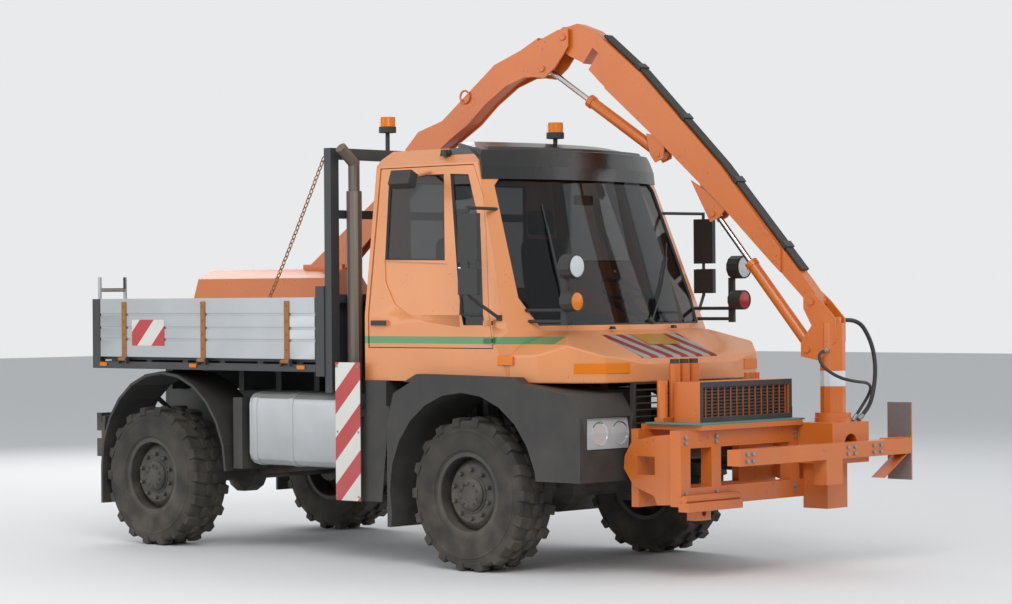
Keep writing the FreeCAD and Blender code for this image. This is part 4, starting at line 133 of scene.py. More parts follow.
# %% Floor, lamps and world
FLOOR_SIZE = 120.0
SKY_STRENGTH = 0.55
floor_material = bpy.data.materials.new("pale_studio_paper")
floor_material.use_nodes = True
paper = floor_material.node_tree
surface = paper.nodes["Principled BSDF"]
surface.inputs["Base Color"].default_value = linear("E4E5E6")
surface.inputs["Roughness"].default_value = 0.9
floor_mesh = bpy.data.meshes.new("floor")
half = FLOOR_SIZE / 2
corners = [(-half, -half, 0), (half, -half, 0), (half, half, 0), (-half, half, 0)]
floor_mesh.from_pydata(corners, [], [(0, 1, 2, 3)])
floor = keep("floor", floor_mesh, floor_material)


def area_lamp(name, place, target, size, power):
    """A square lamp that points at a target."""
    data = bpy.data.lights.new(name, "AREA")
    data.energy = power
    data.size = size
    lamp = bpy.data.objects.new(name, data)
    lamp.location = place
    lamp.rotation_euler = (Vector(target) - Vector(place)).to_track_quat("-Z", "Y").to_euler()
    bpy.context.scene.collection.objects.link(lamp)


TRUCK_MIDDLE = (0.0, 0.0, 1.4)
LAMPS = {"key": ((-9.0, -9.0, 9.0), 7.0, 960), "fill": ((9.0, -10.0, 6.0), 9.0, 330),
         "back": ((6.0, 11.0, 8.0), 8.0, 600), "side": ((-11.0, 6.0, 5.0), 8.0, 420)}
for name, (place, size, power) in LAMPS.items():
    area_lamp(name, place, TRUCK_MIDDLE, size, power)

world = bpy.data.worlds.new("studio")
bpy.context.scene.world = world
world.use_nodes = True
sky = world.node_tree
sky.nodes["Background"].inputs["Strength"].default_value = SKY_STRENGTH
sky.nodes["Background"].inputs["Color"].default_value = linear("F2F5F8")
seen = add(sky, "ShaderNodeBackground", {"Color": linear("E9EAEB"), "Strength": 1.0})
ray = add(sky, "ShaderNodeLightPath")
shiny = add(sky, "ShaderNodeMath", {
    0: ray.outputs["Is Glossy Ray"], 1: ray.outputs["Is Transmission Ray"]}, operation="MAXIMUM")
shown = add(sky, "ShaderNodeMath", {
    0: ray.outputs["Is Camera Ray"], 1: shiny.outputs[0]}, operation="MAXIMUM")
blend_rays = add(sky, "ShaderNodeMixShader", {
    "Fac": shown.outputs[0], 1: sky.nodes["Background"].outputs[0], 2: seen.outputs[0]})
sky.links.new(blend_rays.outputs[0], sky.nodes["World Output"].inputs["Surface"])
bpy.context.scene.view_settings.view_transform = "Standard"

# %% [markdown]
# Most finishes on a working truck are one idea: a coat with slight blotches, a fine grain,
# and road dust that settles low down and on faces that look up. The pattern sizes are real
# sizes in millimetres, turned into the scale that a noise texture wants, and every pattern
# reads Object coordinates, which are metres here. Lines and foils that are part of the paint
# are marks inside a box or bands across a slant, and chips show the rust below old enamel.

# %% A coat with blotches, grain and dust
DUST, BARE_STEEL = "9A8F80", "6B4A38"
DUST_PATCH_MM, WORN_REGION_MM, CHIP_MM = 180, 160, 18


def scale_of(size_mm):
    """A noise scale from the real size of one blotch."""
    return 1 / (size_mm * MM)


def fresh(name):
    """A new material with its tree, its shader and Object coordinates."""
    material = bpy.data.materials.new(name)
    material.use_nodes = True
    tree = material.node_tree
    place = add(tree, "ShaderNodeTexCoord").outputs["Object"]
    return material, tree, tree.nodes["Principled BSDF"], place


def over(tree, colour, share, tint):
    """A colour with another one, an sRGB hex text, laid over it where share is 1."""
    return add(tree, "ShaderNodeMix", {"Factor": share, "A": colour, "B": linear(tint)},
               data_type="RGBA").outputs["Result"]


def dusted(tree, place, colour, amount, low=0.2, high=1.6):
    """A colour with dust over it, thicker near the ground and where a face looks up."""
    height = add(tree, "ShaderNodeSeparateXYZ", {"Vector": place})
    fall = add(tree, "ShaderNodeMapRange", {
        "Value": height.outputs["Z"], "From Min": low, "From Max": high, "To Min": 1.0, "To Max": 0.15})
    cloud = add(tree, "ShaderNodeTexNoise", {
        "Vector": place, "Scale": scale_of(DUST_PATCH_MM), "Detail": 5.0})
    patch = add(tree, "ShaderNodeMapRange", {
        "Value": cloud.outputs["Fac"], "From Min": 0.35, "From Max": 0.75, "To Min": 0.25, "To Max": 1.0})
    normal = add(tree, "ShaderNodeNewGeometry").outputs["Normal"]
    upward = add(tree, "ShaderNodeSeparateXYZ", {"Vector": normal})
    top = add(tree, "ShaderNodeMapRange", {
        "Value": upward.outputs["Z"], "From Min": 0.2, "From Max": 1.0, "To Min": 0.0, "To Max": 0.35})
    sides = add(tree, "ShaderNodeMath", {0: fall.outputs[0], 1: patch.outputs[0]}, operation="MULTIPLY")
    both = add(tree, "ShaderNodeMath", {0: sides.outputs[0], 1: top.outputs[0]}, operation="ADD",
               use_clamp=True)
    share = add(tree, "ShaderNodeMath", {0: both.outputs[0], 1: amount}, operation="MULTIPLY",
                use_clamp=True)
    return over(tree, colour, share.outputs[0], DUST), share.outputs[0]


def inside(tree, place, low, high):
    """1 between two corners in Object coordinates and 0 outside; None leaves an axis free."""
    axes_of = add(tree, "ShaderNodeSeparateXYZ", {"Vector": place})
    share = None
    for axis, a, b in zip("XYZ", low, high):
        if a is None:
            continue
        near = add(tree, "ShaderNodeMath", {0: axes_of.outputs[axis], 1: (a + b) / 2, 2: (b - a) / 2},
                   operation="COMPARE").outputs[0]
        share = near if share is None else add(tree, "ShaderNodeMath", {0: share, 1: near},
                                               operation="MULTIPLY").outputs[0]
    return share


def slanted(tree, place, slant, pitch_mm, share=0.5):
    """1 and 0 in bands across a slanting direction."""
    along = add(tree, "ShaderNodeVectorMath", {0: place, 1: slant}, operation="DOT_PRODUCT").outputs["Value"]
    turns = add(tree, "ShaderNodeMath", {0: along, 1: scale_of(pitch_mm)}, operation="MULTIPLY").outputs[0]
    part = add(tree, "ShaderNodeMath", {0: turns}, operation="FRACT").outputs[0]
    return add(tree, "ShaderNodeMath", {0: part, 1: share}, operation="LESS_THAN").outputs[0]


def coat(name, light, dark, roughness, metallic=0.0, dust=0.3, blotch_mm=400, grain_mm=6, grain=0.05,
         gloss=0.0, top=1.6, marks=(), bands=None, worn=0.0):
    """A finish whose colour drifts between two tones, with painted marks, chips, fine grain and dust."""
    material, tree, shader, place = fresh(name)
    drift = add(tree, "ShaderNodeTexNoise", {"Vector": place, "Scale": scale_of(blotch_mm), "Detail": 4.0})
    painted = over(tree, linear(light), drift.outputs["Fac"], dark)
    if bands:
        tint, slant, pitch_mm = bands
        painted = over(tree, painted, slanted(tree, place, slant, pitch_mm), tint)
    for low, high, tint in marks:
        painted = over(tree, painted, inside(tree, place, low, high), tint)
    if worn:
        region = add(tree, "ShaderNodeTexNoise", {
            "Vector": place, "Scale": scale_of(WORN_REGION_MM), "Detail": 2.0})
        chips = add(tree, "ShaderNodeTexNoise", {"Vector": place, "Scale": scale_of(CHIP_MM), "Detail": 6.0})
        used = add(tree, "ShaderNodeMapRange", {
            "Value": region.outputs["Fac"], "From Min": 0.52, "From Max": 0.62})
        spot = add(tree, "ShaderNodeMapRange", {
            "Value": chips.outputs["Fac"], "From Min": 0.63, "From Max": 0.67})
        bare = add(tree, "ShaderNodeMath", {0: used.outputs[0], 1: spot.outputs[0]}, operation="MULTIPLY")
        part = add(tree, "ShaderNodeMath", {0: bare.outputs[0], 1: worn}, operation="MULTIPLY",
                   use_clamp=True)
        painted = over(tree, painted, part.outputs[0], BARE_STEEL)
    colour, share = dusted(tree, place, painted, dust, high=top)
    fine = add(tree, "ShaderNodeTexNoise", {"Vector": place, "Scale": scale_of(grain_mm), "Detail": 3.0})
    rough = add(tree, "ShaderNodeMapRange", {
        "Value": share, "From Min": 0.0, "From Max": 0.6, "To Min": roughness,
        "To Max": min(roughness + 0.35, 1.0)})
    bump = add(tree, "ShaderNodeBump", {
        "Height": fine.outputs["Fac"], "Strength": grain, "Distance": grain_mm * MM})
    tree.links.new(colour, shader.inputs["Base Color"])
    tree.links.new(rough.outputs[0], shader.inputs["Roughness"])
    tree.links.new(bump.outputs[0], shader.inputs["Normal"])
    shader.inputs["Metallic"].default_value = metallic
    shader.inputs["Coat Weight"].default_value = gloss
    shader.inputs["Coat Roughness"].default_value = 0.15
    return material


# %% [markdown]
# The cab and the implement are both orange, but not alike: the cab's enamel is old and chalky,
# the implement's is newer, deeper and chipped. Both are sprayed coats, so they are dielectrics
# with a little clear gloss. The green line and the column's band are marks in the paint, and the
# roof's front under the visor gets a painted shade; each lies inside a plain box of heights and lengths.

# %% Paints and painted marks
# The near-black colour is painted shade under the roof's visor, not a paint on the truck.
GREEN, RED, VISOR_SHADE_BLACK = "4F8A5A", "B3262B", "17191C"
FOIL_WHITE = ("D9D8D2", "CFCEC8")
TOOL_ORANGE = ("D06C17", "C15E10")
GREEN_LINE = ((None, -1.685, 1.562), (None, 0.1, 1.612), GREEN)
# Painted shade: the roof's front under the visor is coloured near black, as if the visor shaded it.
VISOR_SHADE_ON_ROOF = ((None, -1.4, 2.88), (None, -0.56, 3.1), VISOR_SHADE_BLACK)
COLUMN_BAND = ((None, None, 1.255), (None, None, 1.36), "C9D2D6")
# Old enamel on the cab, chalked to a dull apricot, with its green line and a near-black painted shade on the
# roof's front under the visor.
cab_paint = coat("chalked_orange_enamel_with_visor_shade", "DC9058", "D2834A", 0.42, dust=0.25, blotch_mm=700, gloss=0.25,
                 marks=[GREEN_LINE, VISOR_SHADE_ON_ROOF], worn=0.5)
# Fresher enamel on the implement, a deep warm orange with small rusty chips.
tool_paint = coat("implement_orange_enamel", *TOOL_ORANGE, 0.4, dust=0.22, blotch_mm=350, gloss=0.3,
                  top=1.2, worn=0.8)
# The same enamel on the column, with its band of reflecting foil.
column_paint = coat("banded_orange_enamel", *TOOL_ORANGE, 0.4, dust=0.2, blotch_mm=350, gloss=0.3,
                    top=1.2, marks=[COLUMN_BAND], worn=0.8)
# Reflecting foil on the upright boards and the bed's side, its bands at 45 degrees.
hazard_foil = coat("red_and_white_foil", *FOIL_WHITE, 0.35, dust=0.25, grain_mm=4, gloss=0.4,
                   bands=(RED, (0.0, 0.7071, 0.7071), 235))
# The same foil lying across the bonnet.
flat_foil = coat("red_and_white_flat_foil", *FOIL_WHITE, 0.4, dust=0.2, gloss=0.3,
                 bands=(RED, (0.94, 0.34, 0.0), 150))
# Deep green blue enamel of the flat plate on the shelf.
teal_paint = coat("teal_enamel", "3C8E86", "2A706C", 0.45, dust=0.3)
# Yellow reflecting sheet of the blank number plate.
plate_yellow = coat("yellow_plate", "E6B31E", "DDA818", 0.35, dust=0.1, gloss=0.4)
print("paints ready")

# %% [markdown]
# Wings, grille and mirror heads are moulded black plastic with a fine leather grain, which sun
# and dust turn grey. Rubber is duller still and takes mud. All are rough dielectrics, and they
# differ in tone, roughness and grain, so one recipe with other values makes them.

# %% Plastics, rubber and cloth
# Grained black plastic of wings, grille and steps, greyed by sun.
black_plastic = coat("grained_black_plastic", "28292A", "212223", 0.6, dust=0.18, grain_mm=3, grain=0.25)
# Smooth dark plastic of the visor over the windscreen, still glossy.
visor_plastic = coat("smoked_visor_plastic", "0D0E10", "0A0B0D", 0.3, dust=0.04, grain_mm=40, gloss=0.15)
# Tyre rubber, dull black under dried mud.
rubber = coat("tyre_rubber", "1A1A1A", "232221", 0.85, dust=0.3, grain_mm=5, grain=0.3, top=1.3)
# Hydraulic hose, satin black with a fine wrapped pattern.
hose_rubber = coat("hose_rubber", "151515", "1D1D1E", 0.5, dust=0.15, grain_mm=4, grain=0.3)
# Moulded grey plastic of the dash, soft and matt.
dash_plastic = coat("dash_grey_plastic", "303336", "2A2C2F", 0.7, dust=0.05, grain_mm=2, grain=0.2)
# Seat cloth, dark blue grey.
seat_cloth = coat("seat_cloth", "26282C", "202226", 0.95, dust=0.03, grain_mm=3, grain=0.15)
print("plastics ready")

# %% [markdown]
# Bare metals reflect with their own colour, so they are metallic, while painted steel is not.
# Zinc and weathered aluminium have a thin dull skin, so they are metallic only in part, and rust
# is an oxide that isn't metallic at all.

# %% Metals
# Satin black paint on frame and brackets, dusty from the road.
frame_paint = coat("satin_black_chassis_paint", "262728", "1F2020", 0.55, dust=0.35, grain_mm=8, grain=0.15)
# Dark grey powder coat on the bed's posts and beams.
powder_grey = coat("anthracite_powder_coat", "2F3336", "292C2F", 0.5, dust=0.25, grain_mm=2, grain=0.2)
# Mill-finish aluminium, weathered to a soft grey.
aluminium = coat("weathered_aluminium", "B9BDC0", "A4A8AB", 0.42, metallic=0.6, dust=0.3, grain_mm=4,
                 grain=0.1)
# Steel strap whose zinc has gone, rusty brown.
rusty_steel = coat("rusted_steel", "8A5A32", "A3703F", 0.8, dust=0.15, blotch_mm=60, grain_mm=5, grain=0.4)
# Wheel steel under dark paint and a film of mud.
wheel_paint = coat("dusty_wheel_enamel", "252525", "1E1E1E", 0.5, dust=0.35, grain_mm=10, grain=0.2, top=1.3)
# Chrome of a ram's rod: bright and nearly mirror smooth.
chrome = coat("hard_chrome", "D6D8DA", "CFD1D3", 0.12, metallic=1.0, dust=0.02, grain_mm=30, grain=0.01)
# Galvanised steel, cool grey with soft spangles.
zinc = coat("galvanised_steel", "9EA3A6", "8A8F93", 0.45, metallic=0.8, dust=0.35, blotch_mm=30)
# Burnt exhaust steel.
burnt_steel = coat("burnt_exhaust_steel", "6A635C", "7A6E62", 0.5, metallic=0.7, dust=0.2, blotch_mm=90)
# Silvered glass of mirrors and lamp bowls.
mirror_silver = coat("silvered_glass", "DDE2E6", "D4DADF", 0.05, metallic=1.0, dust=0.02, grain_mm=80,
                     grain=0.0)
print("materials:", len(bpy.data.materials))

# %% [markdown]
# The cab's panes are single curved sheets of tinted safety glass. A sheet that thin hardly bends
# light, so it is a see-through surface with a sharp reflection instead of a refracting body.
# Lamp lenses are thicker moulded plastic, so they let less through.


# %% Glass and lamp lenses
def glass(name, tint, roughness=0.03, alpha=0.45):
    """A thin tinted sheet that lets part of the light through."""
    material, tree, shader, place = fresh(name)
    film = add(tree, "ShaderNodeTexNoise", {"Vector": place, "Scale": scale_of(250), "Detail": 4.0})
    haze = add(tree, "ShaderNodeMapRange", {
        "Value": film.outputs["Fac"], "From Min": 0.4, "From Max": 0.8, "To Min": roughness,
        "To Max": roughness + 0.02})
    tree.links.new(haze.outputs[0], shader.inputs["Roughness"])
    shader.inputs["Base Color"].default_value = linear(tint)
    shader.inputs["Alpha"].default_value = alpha
    shader.inputs["IOR"].default_value = 1.5
    shader.inputs["Specular IOR Level"].default_value = 0.35
    return material


# Tinted safety glass of the cab, dark from outside.
window_glass = glass("tinted_window_glass", "0A1013", alpha=0.55)
# Clear moulded polycarbonate over a lamp's bowl.
clear_lens = glass("clear_lamp_lens", "D8DEE0", 0.08, 0.6)
# Amber acrylic of beacons and turn lamps, nearly opaque over its ribs.
amber_lens = glass("amber_lens", "E07A10", 0.15, 0.92)
# Red acrylic of rear and marker lamps.
red_lens = glass("red_lens", "A3140E", 0.15, 0.95)
print("glass and lenses ready")

# %% [markdown]
# A CAD solid arrives as loose triangles with knife-sharp edges. Real sheet metal and castings
# always have a small radius that catches the light, so each solid is copied, its flat triangles
# are joined again, and its edges get a small bevel. The copy rides with the solid's own body
# and stands for it.

# %% Dress a CAD solid
FLAT_ANGLE = math.radians(1.5)
EDGE_ANGLE = math.radians(25)
WELD_MM = 0.02


def copied(node):
    """A bmesh of a solid's triangles."""
    bm = bmesh.new()
    bm.from_mesh(frame["nodes"][node].data)
    return bm


def merged_copy(node):
    """A copy of a solid with its triangles joined into whole faces."""
    bm = copied(node)
    bmesh.ops.remove_doubles(bm, verts=bm.verts, dist=WELD_MM * MM)
    bmesh.ops.dissolve_limit(bm, angle_limit=FLAT_ANGLE, verts=bm.verts, edges=bm.edges)
    return bm


def as_mesh(name, bm):
    """A mesh from a bmesh, which is freed."""
    mesh = bpy.data.meshes.new(name)
    bm.to_mesh(mesh)
    bm.free()
    return mesh


def dressed(node, finish, bevel_mm=3.0, others=(), segments=2):
    """A bevelled copy; others are (test, material) pairs, and the first test a face passes wins."""
    bm = merged_copy(node)
    for face in bm.faces:
        face.material_index = next((n for n, (test, _) in enumerate(others, 1) if test(face)), 0)
    mesh = as_mesh(node + "_dressed", bm)
    obj = keep(node + "_dressed", mesh, finish, *[material for _, material in others])
    if bevel_mm:
        bevel = obj.modifiers.new("edge", "BEVEL")
        bevel.width = bevel_mm * MM
        bevel.segments = segments
        bevel.limit_method = "ANGLE"
        bevel.angle_limit = EDGE_ANGLE
        bevel.harden_normals = True
        bevel.use_clamp_overlap = True
    for polygon in mesh.polygons:
        polygon.use_smooth = True
    mesh.set_sharp_from_angle(angle=EDGE_ANGLE)
    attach(obj, body_of_node[node])
    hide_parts(node)


# %% [markdown]
# The wheels, the cords and the cushions get their own pieces further down. Every other solid
# keeps its form and takes a finish, and some of its faces take another: a lens, a cap, a dome
# or a strap is picked by where its faces lie.

# %% Tests that pick faces
SMALL_FACE_M2 = 0.06
MOSTLY = math.cos(math.radians(45))


def within(low, high):
    """Faces that lie wholly between two corners; None leaves an axis free."""
    def test(face):
        return all(a is None or a <= v <= b
                   for vert in face.verts for v, a, b in zip(vert.co, low, high))
    return test


def above(z):
    """Faces that lie wholly higher than z."""
    return within((None, None, z), (None, None, 9.0))


def facing(direction, low=(None,) * 3, high=(None,) * 3):
    """Faces between two corners that look along a direction."""
    inner = within(low, high)
    return lambda face: face.normal.dot(Vector(direction)) > MOSTLY and inner(face)


def skin_of(node):
    """A search tree of a solid's faces."""
    bm = copied(node)
    tree = BVHTree.FromBMesh(bm)
    bm.free()
    return tree


def beside(node, reach):
    """Small faces close to another solid, such as the edge of an opening round its glass."""
    tree = skin_of(node)

    def test(face):
        if face.calc_area() > SMALL_FACE_M2:
            return False
        return all((tree.find_nearest(vert.co)[3] or 0) < reach for vert in face.verts)
    return test


# %% [markdown]
# Frame, axles, boxes, boom and panes are each of one paint or material all over, so one table
# gives every such solid its finish. Panes keep their cut edges, and the rest get radii of 3 mm.

# %% Nodes with one finish
plain = {
    "chassis_frame": frame_paint, "engine_and_driveline": frame_paint, "front_axle": frame_paint,
    "rear_axle": frame_paint, "knuckle_left": frame_paint, "knuckle_right": frame_paint,
    "front_fenders": black_plastic, "rear_fenders": black_plastic,
    "grille": black_plastic, "cab_steps": black_plastic, "dashboard": dash_plastic,
    "rear_cab_boxes": black_plastic, "headboard": powder_grey, "bed_front_wall": powder_grey,
    "bed_platform": powder_grey, "implement_frame": tool_paint,
    "manifold_plate": teal_paint, "boom_hoses": hose_rubber, "column_housing": tool_paint,
    "column": column_paint, "boom": tool_paint, "arm": tool_paint, "lift_barrel": tool_paint,
    "fold_barrel": tool_paint, "lift_rod": chrome, "fold_rod": chrome,
    "cab_glass": window_glass, "door_glass_left": window_glass, "door_glass_right": window_glass,
}
for node, finish in plain.items():
    dressed(node, finish, 0.0 if "glass" in node else 3.0)
print("dressed with one finish:", len(plain))

# %% [markdown]
# Some solids are of several materials on the real truck: black rubber round the panes, black
# door handles, rusty straps on aluminium boards, amber domes on black feet. Their faces are
# picked by place, with heights and distances read off the CAD model, in metres.

# %% Nodes with several finishes
FRONT, BACK = (0, -1, 0), (0, 1, 0)
SEAL_REACH = 0.045
DOOR_SKIN_X, PAST_HANDLE_X = 1.0735, 1.4
STRAP_YS, STRAP_HALF = (0.765, 1.69, 2.615), 0.045
TANK_BAND_YS, TANK_BAND_HALF = (0.235, -0.155, -0.03, -0.42), 0.027
HIGH_BEACON_Z, LOW_BEACON_Z = 3.1345, 3.0595
BOARD_FACE_X, FAR_BOARD_X = 1.119, 1.2
LAMP_BOX_Y, BOX_FOOT_Z, AMBER_TOP_Z, RED_TOP_Z = 2.5, 0.6, 0.85, 1.01
TAILGATE_CAP_Z, TURN_LAMP_Z, MARKER_LAMP_Z, FILTER_CAP_Z = 1.91, 1.2, 1.3, 1.42
SKIRT_FOOT_Z, SKIRT_TOP_Z = 1.0, 1.56


def bands_at(ys, half_width, finish):
    """Pairs that give faces around each y a finish, such as straps round a board or a tank."""
    return [(within((None, y - half_width, None), (None, y + half_width, None)), finish) for y in ys]


dressed("cab_shell", cab_paint, 0.0, [(beside("cab_glass", SEAL_REACH), black_plastic)])
for side, sign in (("left", 1), ("right", -1)):
    inner, outer = sorted((sign * DOOR_SKIN_X, sign * PAST_HANDLE_X))
    dressed("door_" + side, cab_paint, 0.0, [
        (beside("door_glass_" + side, SEAL_REACH), black_plastic),
        (within((inner, None, None), (outer, None, None)), black_plastic)])
    dressed("sideboard_" + side, aluminium, 2.0, bands_at(STRAP_YS, STRAP_HALF, rusty_steel))
dressed("tailgate", aluminium, 2.0, [(above(TAILGATE_CAP_Z), powder_grey)])
dressed("bonnet", cab_paint, 12.0, segments=4)
dressed("roof_visor", visor_plastic, 18.0, segments=4)
domes = (within((None, 0, HIGH_BEACON_Z), (None, 1, 4)), within((None, -2, LOW_BEACON_Z), (None, 0, 4)))
dressed("beacons", black_plastic, 2.0, [(lambda face: any(test(face) for test in domes), amber_lens)])
dressed("front_lamps", clear_lens, 2.0, [(above(TURN_LAMP_Z), amber_lens)])
dressed("rear_lamps", frame_paint, 2.0, [
    (facing(BACK, (-2, LAMP_BOX_Y, AMBER_TOP_Z), (2, 4, RED_TOP_Z)), red_lens),
    (facing(BACK, (-2, LAMP_BOX_Y, BOX_FOOT_Z), (2, 4, AMBER_TOP_Z)), amber_lens),
    (above(MARKER_LAMP_Z), amber_lens)])
dressed("marker_boards", frame_paint, 1.0, [
    (lambda face: abs(face.calc_center_median().x) > BOARD_FACE_X and abs(face.normal.x) > MOSTLY,
     hazard_foil)])
dressed("lamp_clusters", black_plastic, 2.0)
dressed("mirrors", black_plastic, 14.0, segments=4)
dressed("exhaust_stack", burnt_steel, 2.0)
dressed("oil_cooler", tool_paint, 1.0, [(facing(FRONT), black_plastic)])
dressed("hydraulic_filters", tool_paint, 2.0, [(above(FILTER_CAP_Z), black_plastic)])
dressed("cross_beam", tool_paint, 2.0, [
    (lambda face: face.calc_center_median().x > FAR_BOARD_X and abs(face.normal.x) < MOSTLY, hazard_foil),
    (lambda face: face.calc_center_median().x > FAR_BOARD_X, zinc)])
dressed("mower_head", tool_paint, 3.0, [
    (within((None, None, SKIRT_FOOT_Z), (None, None, SKIRT_TOP_Z)), black_plastic)])
dressed("tanks", aluminium, 3.0, bands_at(TANK_BAND_YS, TANK_BAND_HALF, black_plastic))
print("dressed with several finishes")

# %% [markdown]
# Things that repeat, such as tread blocks, wheel nuts and bolts, are one small mesh placed on
# many points by Geometry Nodes. Each point carries the turn of its copy, a fixed seed varies
# the size a little, and the result is turned into a plain mesh before it rides on a body.

# %% A repeater in Geometry Nodes


def repeater():
    """A node tree that puts one object on every point, turned as the point says."""
    tree = bpy.data.node_groups.new("repeat_on_points", "GeometryNodeTree")
    for label, kind in (("Points", "Geometry"), ("Piece", "Object"), ("Finish", "Material"),
                        ("Smallest", "Float"), ("Largest", "Float"), ("Seed", "Int")):
        tree.interface.new_socket(label, in_out="INPUT", socket_type="NodeSocket" + kind)
    tree.interface.new_socket("Geometry", in_out="OUTPUT", socket_type="NodeSocketGeometry")
    source, sink = add(tree, "NodeGroupInput"), add(tree, "NodeGroupOutput")
    shape = add(tree, "GeometryNodeObjectInfo", {"Object": source.outputs["Piece"]},
                transform_space="ORIGINAL")
    turn = add(tree, "GeometryNodeInputNamedAttribute", {"Name": "turn"}, data_type="FLOAT_VECTOR")
    size = add(tree, "FunctionNodeRandomValue", {
        2: source.outputs["Smallest"], 3: source.outputs["Largest"], 8: source.outputs["Seed"]},
        data_type="FLOAT")
    copies = add(tree, "GeometryNodeInstanceOnPoints", {
        "Points": source.outputs["Points"], "Instance": shape.outputs["Geometry"],
        "Rotation": turn.outputs["Attribute"], "Scale": size.outputs[1]})
    real = add(tree, "GeometryNodeRealizeInstances", {"Geometry": copies.outputs[0]})
    done = add(tree, "GeometryNodeSetMaterial", {
        "Geometry": real.outputs[0], "Material": source.outputs["Finish"]})
    tree.links.new(done.outputs[0], sink.inputs["Geometry"])
    return tree


REPEAT = repeater()
SOCKET = {item.name: item.identifier for item in REPEAT.interface.items_tree if item.in_out == "INPUT"}


def repeated(name, piece_mesh, places, finish, body, change=0.0, seed=7):
    """One mesh on many (point, turn) places, as a plain mesh that rides on a body."""
    points = bpy.data.meshes.new(name + "_points")
    points.from_pydata([tuple(point) for point, _ in places], [], [])
    turns = points.attributes.new("turn", "FLOAT_VECTOR", "POINT")
    turns.data.foreach_set("vector", [v for _, turn in places for v in turn])
    obj = keep(name, points)
    piece = bpy.data.objects.new(name + "_piece", piece_mesh)
    modifier = obj.modifiers.new("repeat", "NODES")
    modifier.node_group = REPEAT
    for label, value in (("Piece", piece), ("Finish", finish), ("Smallest", 1 - change),
                         ("Largest", 1 + change), ("Seed", seed)):
        modifier[SOCKET[label]] = value
    bpy.context.view_layer.update()
    made = bpy.data.meshes.new_from_object(obj.evaluated_get(bpy.context.evaluated_depsgraph_get()))
    obj.modifiers.clear()
    obj.data = made
    bpy.data.objects.remove(piece)
    made.set_sharp_from_angle(angle=EDGE_ANGLE)
    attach(obj, body)


print("repeater inputs:", sorted(SOCKET))

# %% [markdown]
# Lamps, rims, hubs, ferrules and bolts are turned parts, so each is a profile of a few points,
# spun about its axis. Wipers and seals are round bars swept along a line, and brackets are
# boxes. Building them point by point keeps their faces few and their normals sure. A hexagon
# head is a turned part too, with six sides only.

# %% Shapes for turned parts, bolts and tubes


def angles(count, phase=0.0):
    """Equal steps round a circle, the first one moved on by phase steps."""
    return [2 * math.pi * (n + phase) / count for n in range(count)]


def finished(name, bm, finish, body):
    """A bmesh as an object with outward faces that rides on a body."""
    bmesh.ops.recalc_face_normals(bm, faces=bm.faces)
    mesh = as_mesh(name, bm)
    for polygon in mesh.polygons:
        polygon.use_smooth = True
    mesh.set_sharp_from_angle(angle=EDGE_ANGLE)
    obj = keep(name, mesh, finish)
    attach(obj, body)
    return obj


def spun(bm, profile, centre, axis, segments, closed=True):
    """A profile of (along the axis, radius) in mm, turned about an axis through centre in metres."""
    axis = Vector(axis).normalized()
    side = axis.orthogonal().normalized()
    other = axis.cross(side)
    rings = []
    for along, radius in profile:
        heart = Vector(centre) + axis * along * MM
        if radius < 0.01:
            rings.append([bm.verts.new(heart)])
            continue
        rings.append([bm.verts.new(heart + (side * math.cos(a) + other * math.sin(a)) * radius * MM)
                      for a in angles(segments)])
    pairs = list(zip(rings, rings[1:])) + ([(rings[-1], rings[0])] if closed else [])
    for first, second in pairs:
        if len(first) == len(second) == 1:
            continue
        for n in range(segments):
            m = (n + 1) % segments
            if len(first) == 1:
                bm.faces.new((first[0], second[n], second[m]))
            elif len(second) == 1:
                bm.faces.new((first[n], first[m], second[0]))
            else:
                bm.faces.new((first[n], first[m], second[m], second[n]))


def turned(name, profile, centre, axis, segments, finish, body, closed=False):
    """One turned part as an object of its own."""
    bm = bmesh.new()
    spun(bm, profile, centre, axis, segments, closed)
    return finished(name, bm, finish, body)


def swept(bm, points, radius, sides=10):
    """A tube along points in mm, with closed ends."""
    line = [Vector(p) * MM for p in points]
    normal = (line[1] - line[0]).orthogonal().normalized()
    rings = []
    for n, point in enumerate(line):
        ahead = (line[min(n + 1, len(line) - 1)] - line[max(n - 1, 0)]).normalized()
        normal = (normal - ahead * normal.dot(ahead)).normalized()
        other = ahead.cross(normal)
        rings.append([bm.verts.new(point + (normal * math.cos(a) + other * math.sin(a)) * radius * MM)
                      for a in angles(sides)])
    for first, second in zip(rings, rings[1:]):
        for k in range(sides):
            m = (k + 1) % sides
            bm.faces.new((first[k], first[m], second[m], second[k]))
    bm.faces.new(rings[0])
    bm.faces.new(rings[-1])


def cased(bm, low, high, taper=1.0):
    """A box between two corners in mm, its top face drawn in by taper."""
    made = bmesh.ops.create_cube(bm, size=1.0)["verts"]
    middle = [(a + b) / 2 * MM for a, b in zip(low, high)]
    size = [(b - a) * MM for a, b in zip(low, high)]
    for v in made:
        share = taper if v.co.z > 0 else 1.0
        v.co = Vector((v.co.x * size[0] * share, v.co.y * size[1] * share, v.co.z * size[2]))
        v.co += Vector(middle)


def bolt_mesh(across_mm, head_mm, washer=True):
    """A hexagon head with a chamfered top on its washer, standing on Z."""
    bm = bmesh.new()
    r = across_mm / 2 / math.cos(math.pi / 6)
    head = [(0, 0), (0, r), (head_mm * 0.85, r), (head_mm, r * 0.86), (head_mm, 0)]
    spun(bm, head, (0, 0, 0), (0, 0, 1), 6, False)
    if washer:
        spun(bm, [(-1, 0), (-1, r * 1.25), (2.2, r * 1.25), (2.2, 0)], (0, 0, 0), (0, 0, 1), 16, False)
    bmesh.ops.recalc_face_normals(bm, faces=bm.faces)
    return as_mesh("bolt_%d" % across_mm, bm)


def aim(direction):
    """The turn that stands a piece's Z along a direction."""
    return tuple(Vector(direction).to_track_quat("Z", "Y").to_euler())


BOLT, NUT = bolt_mesh(24, 12), bolt_mesh(27, 24)
print("bolt faces:", len(BOLT.polygons), "nut faces:", len(NUT.polygons))

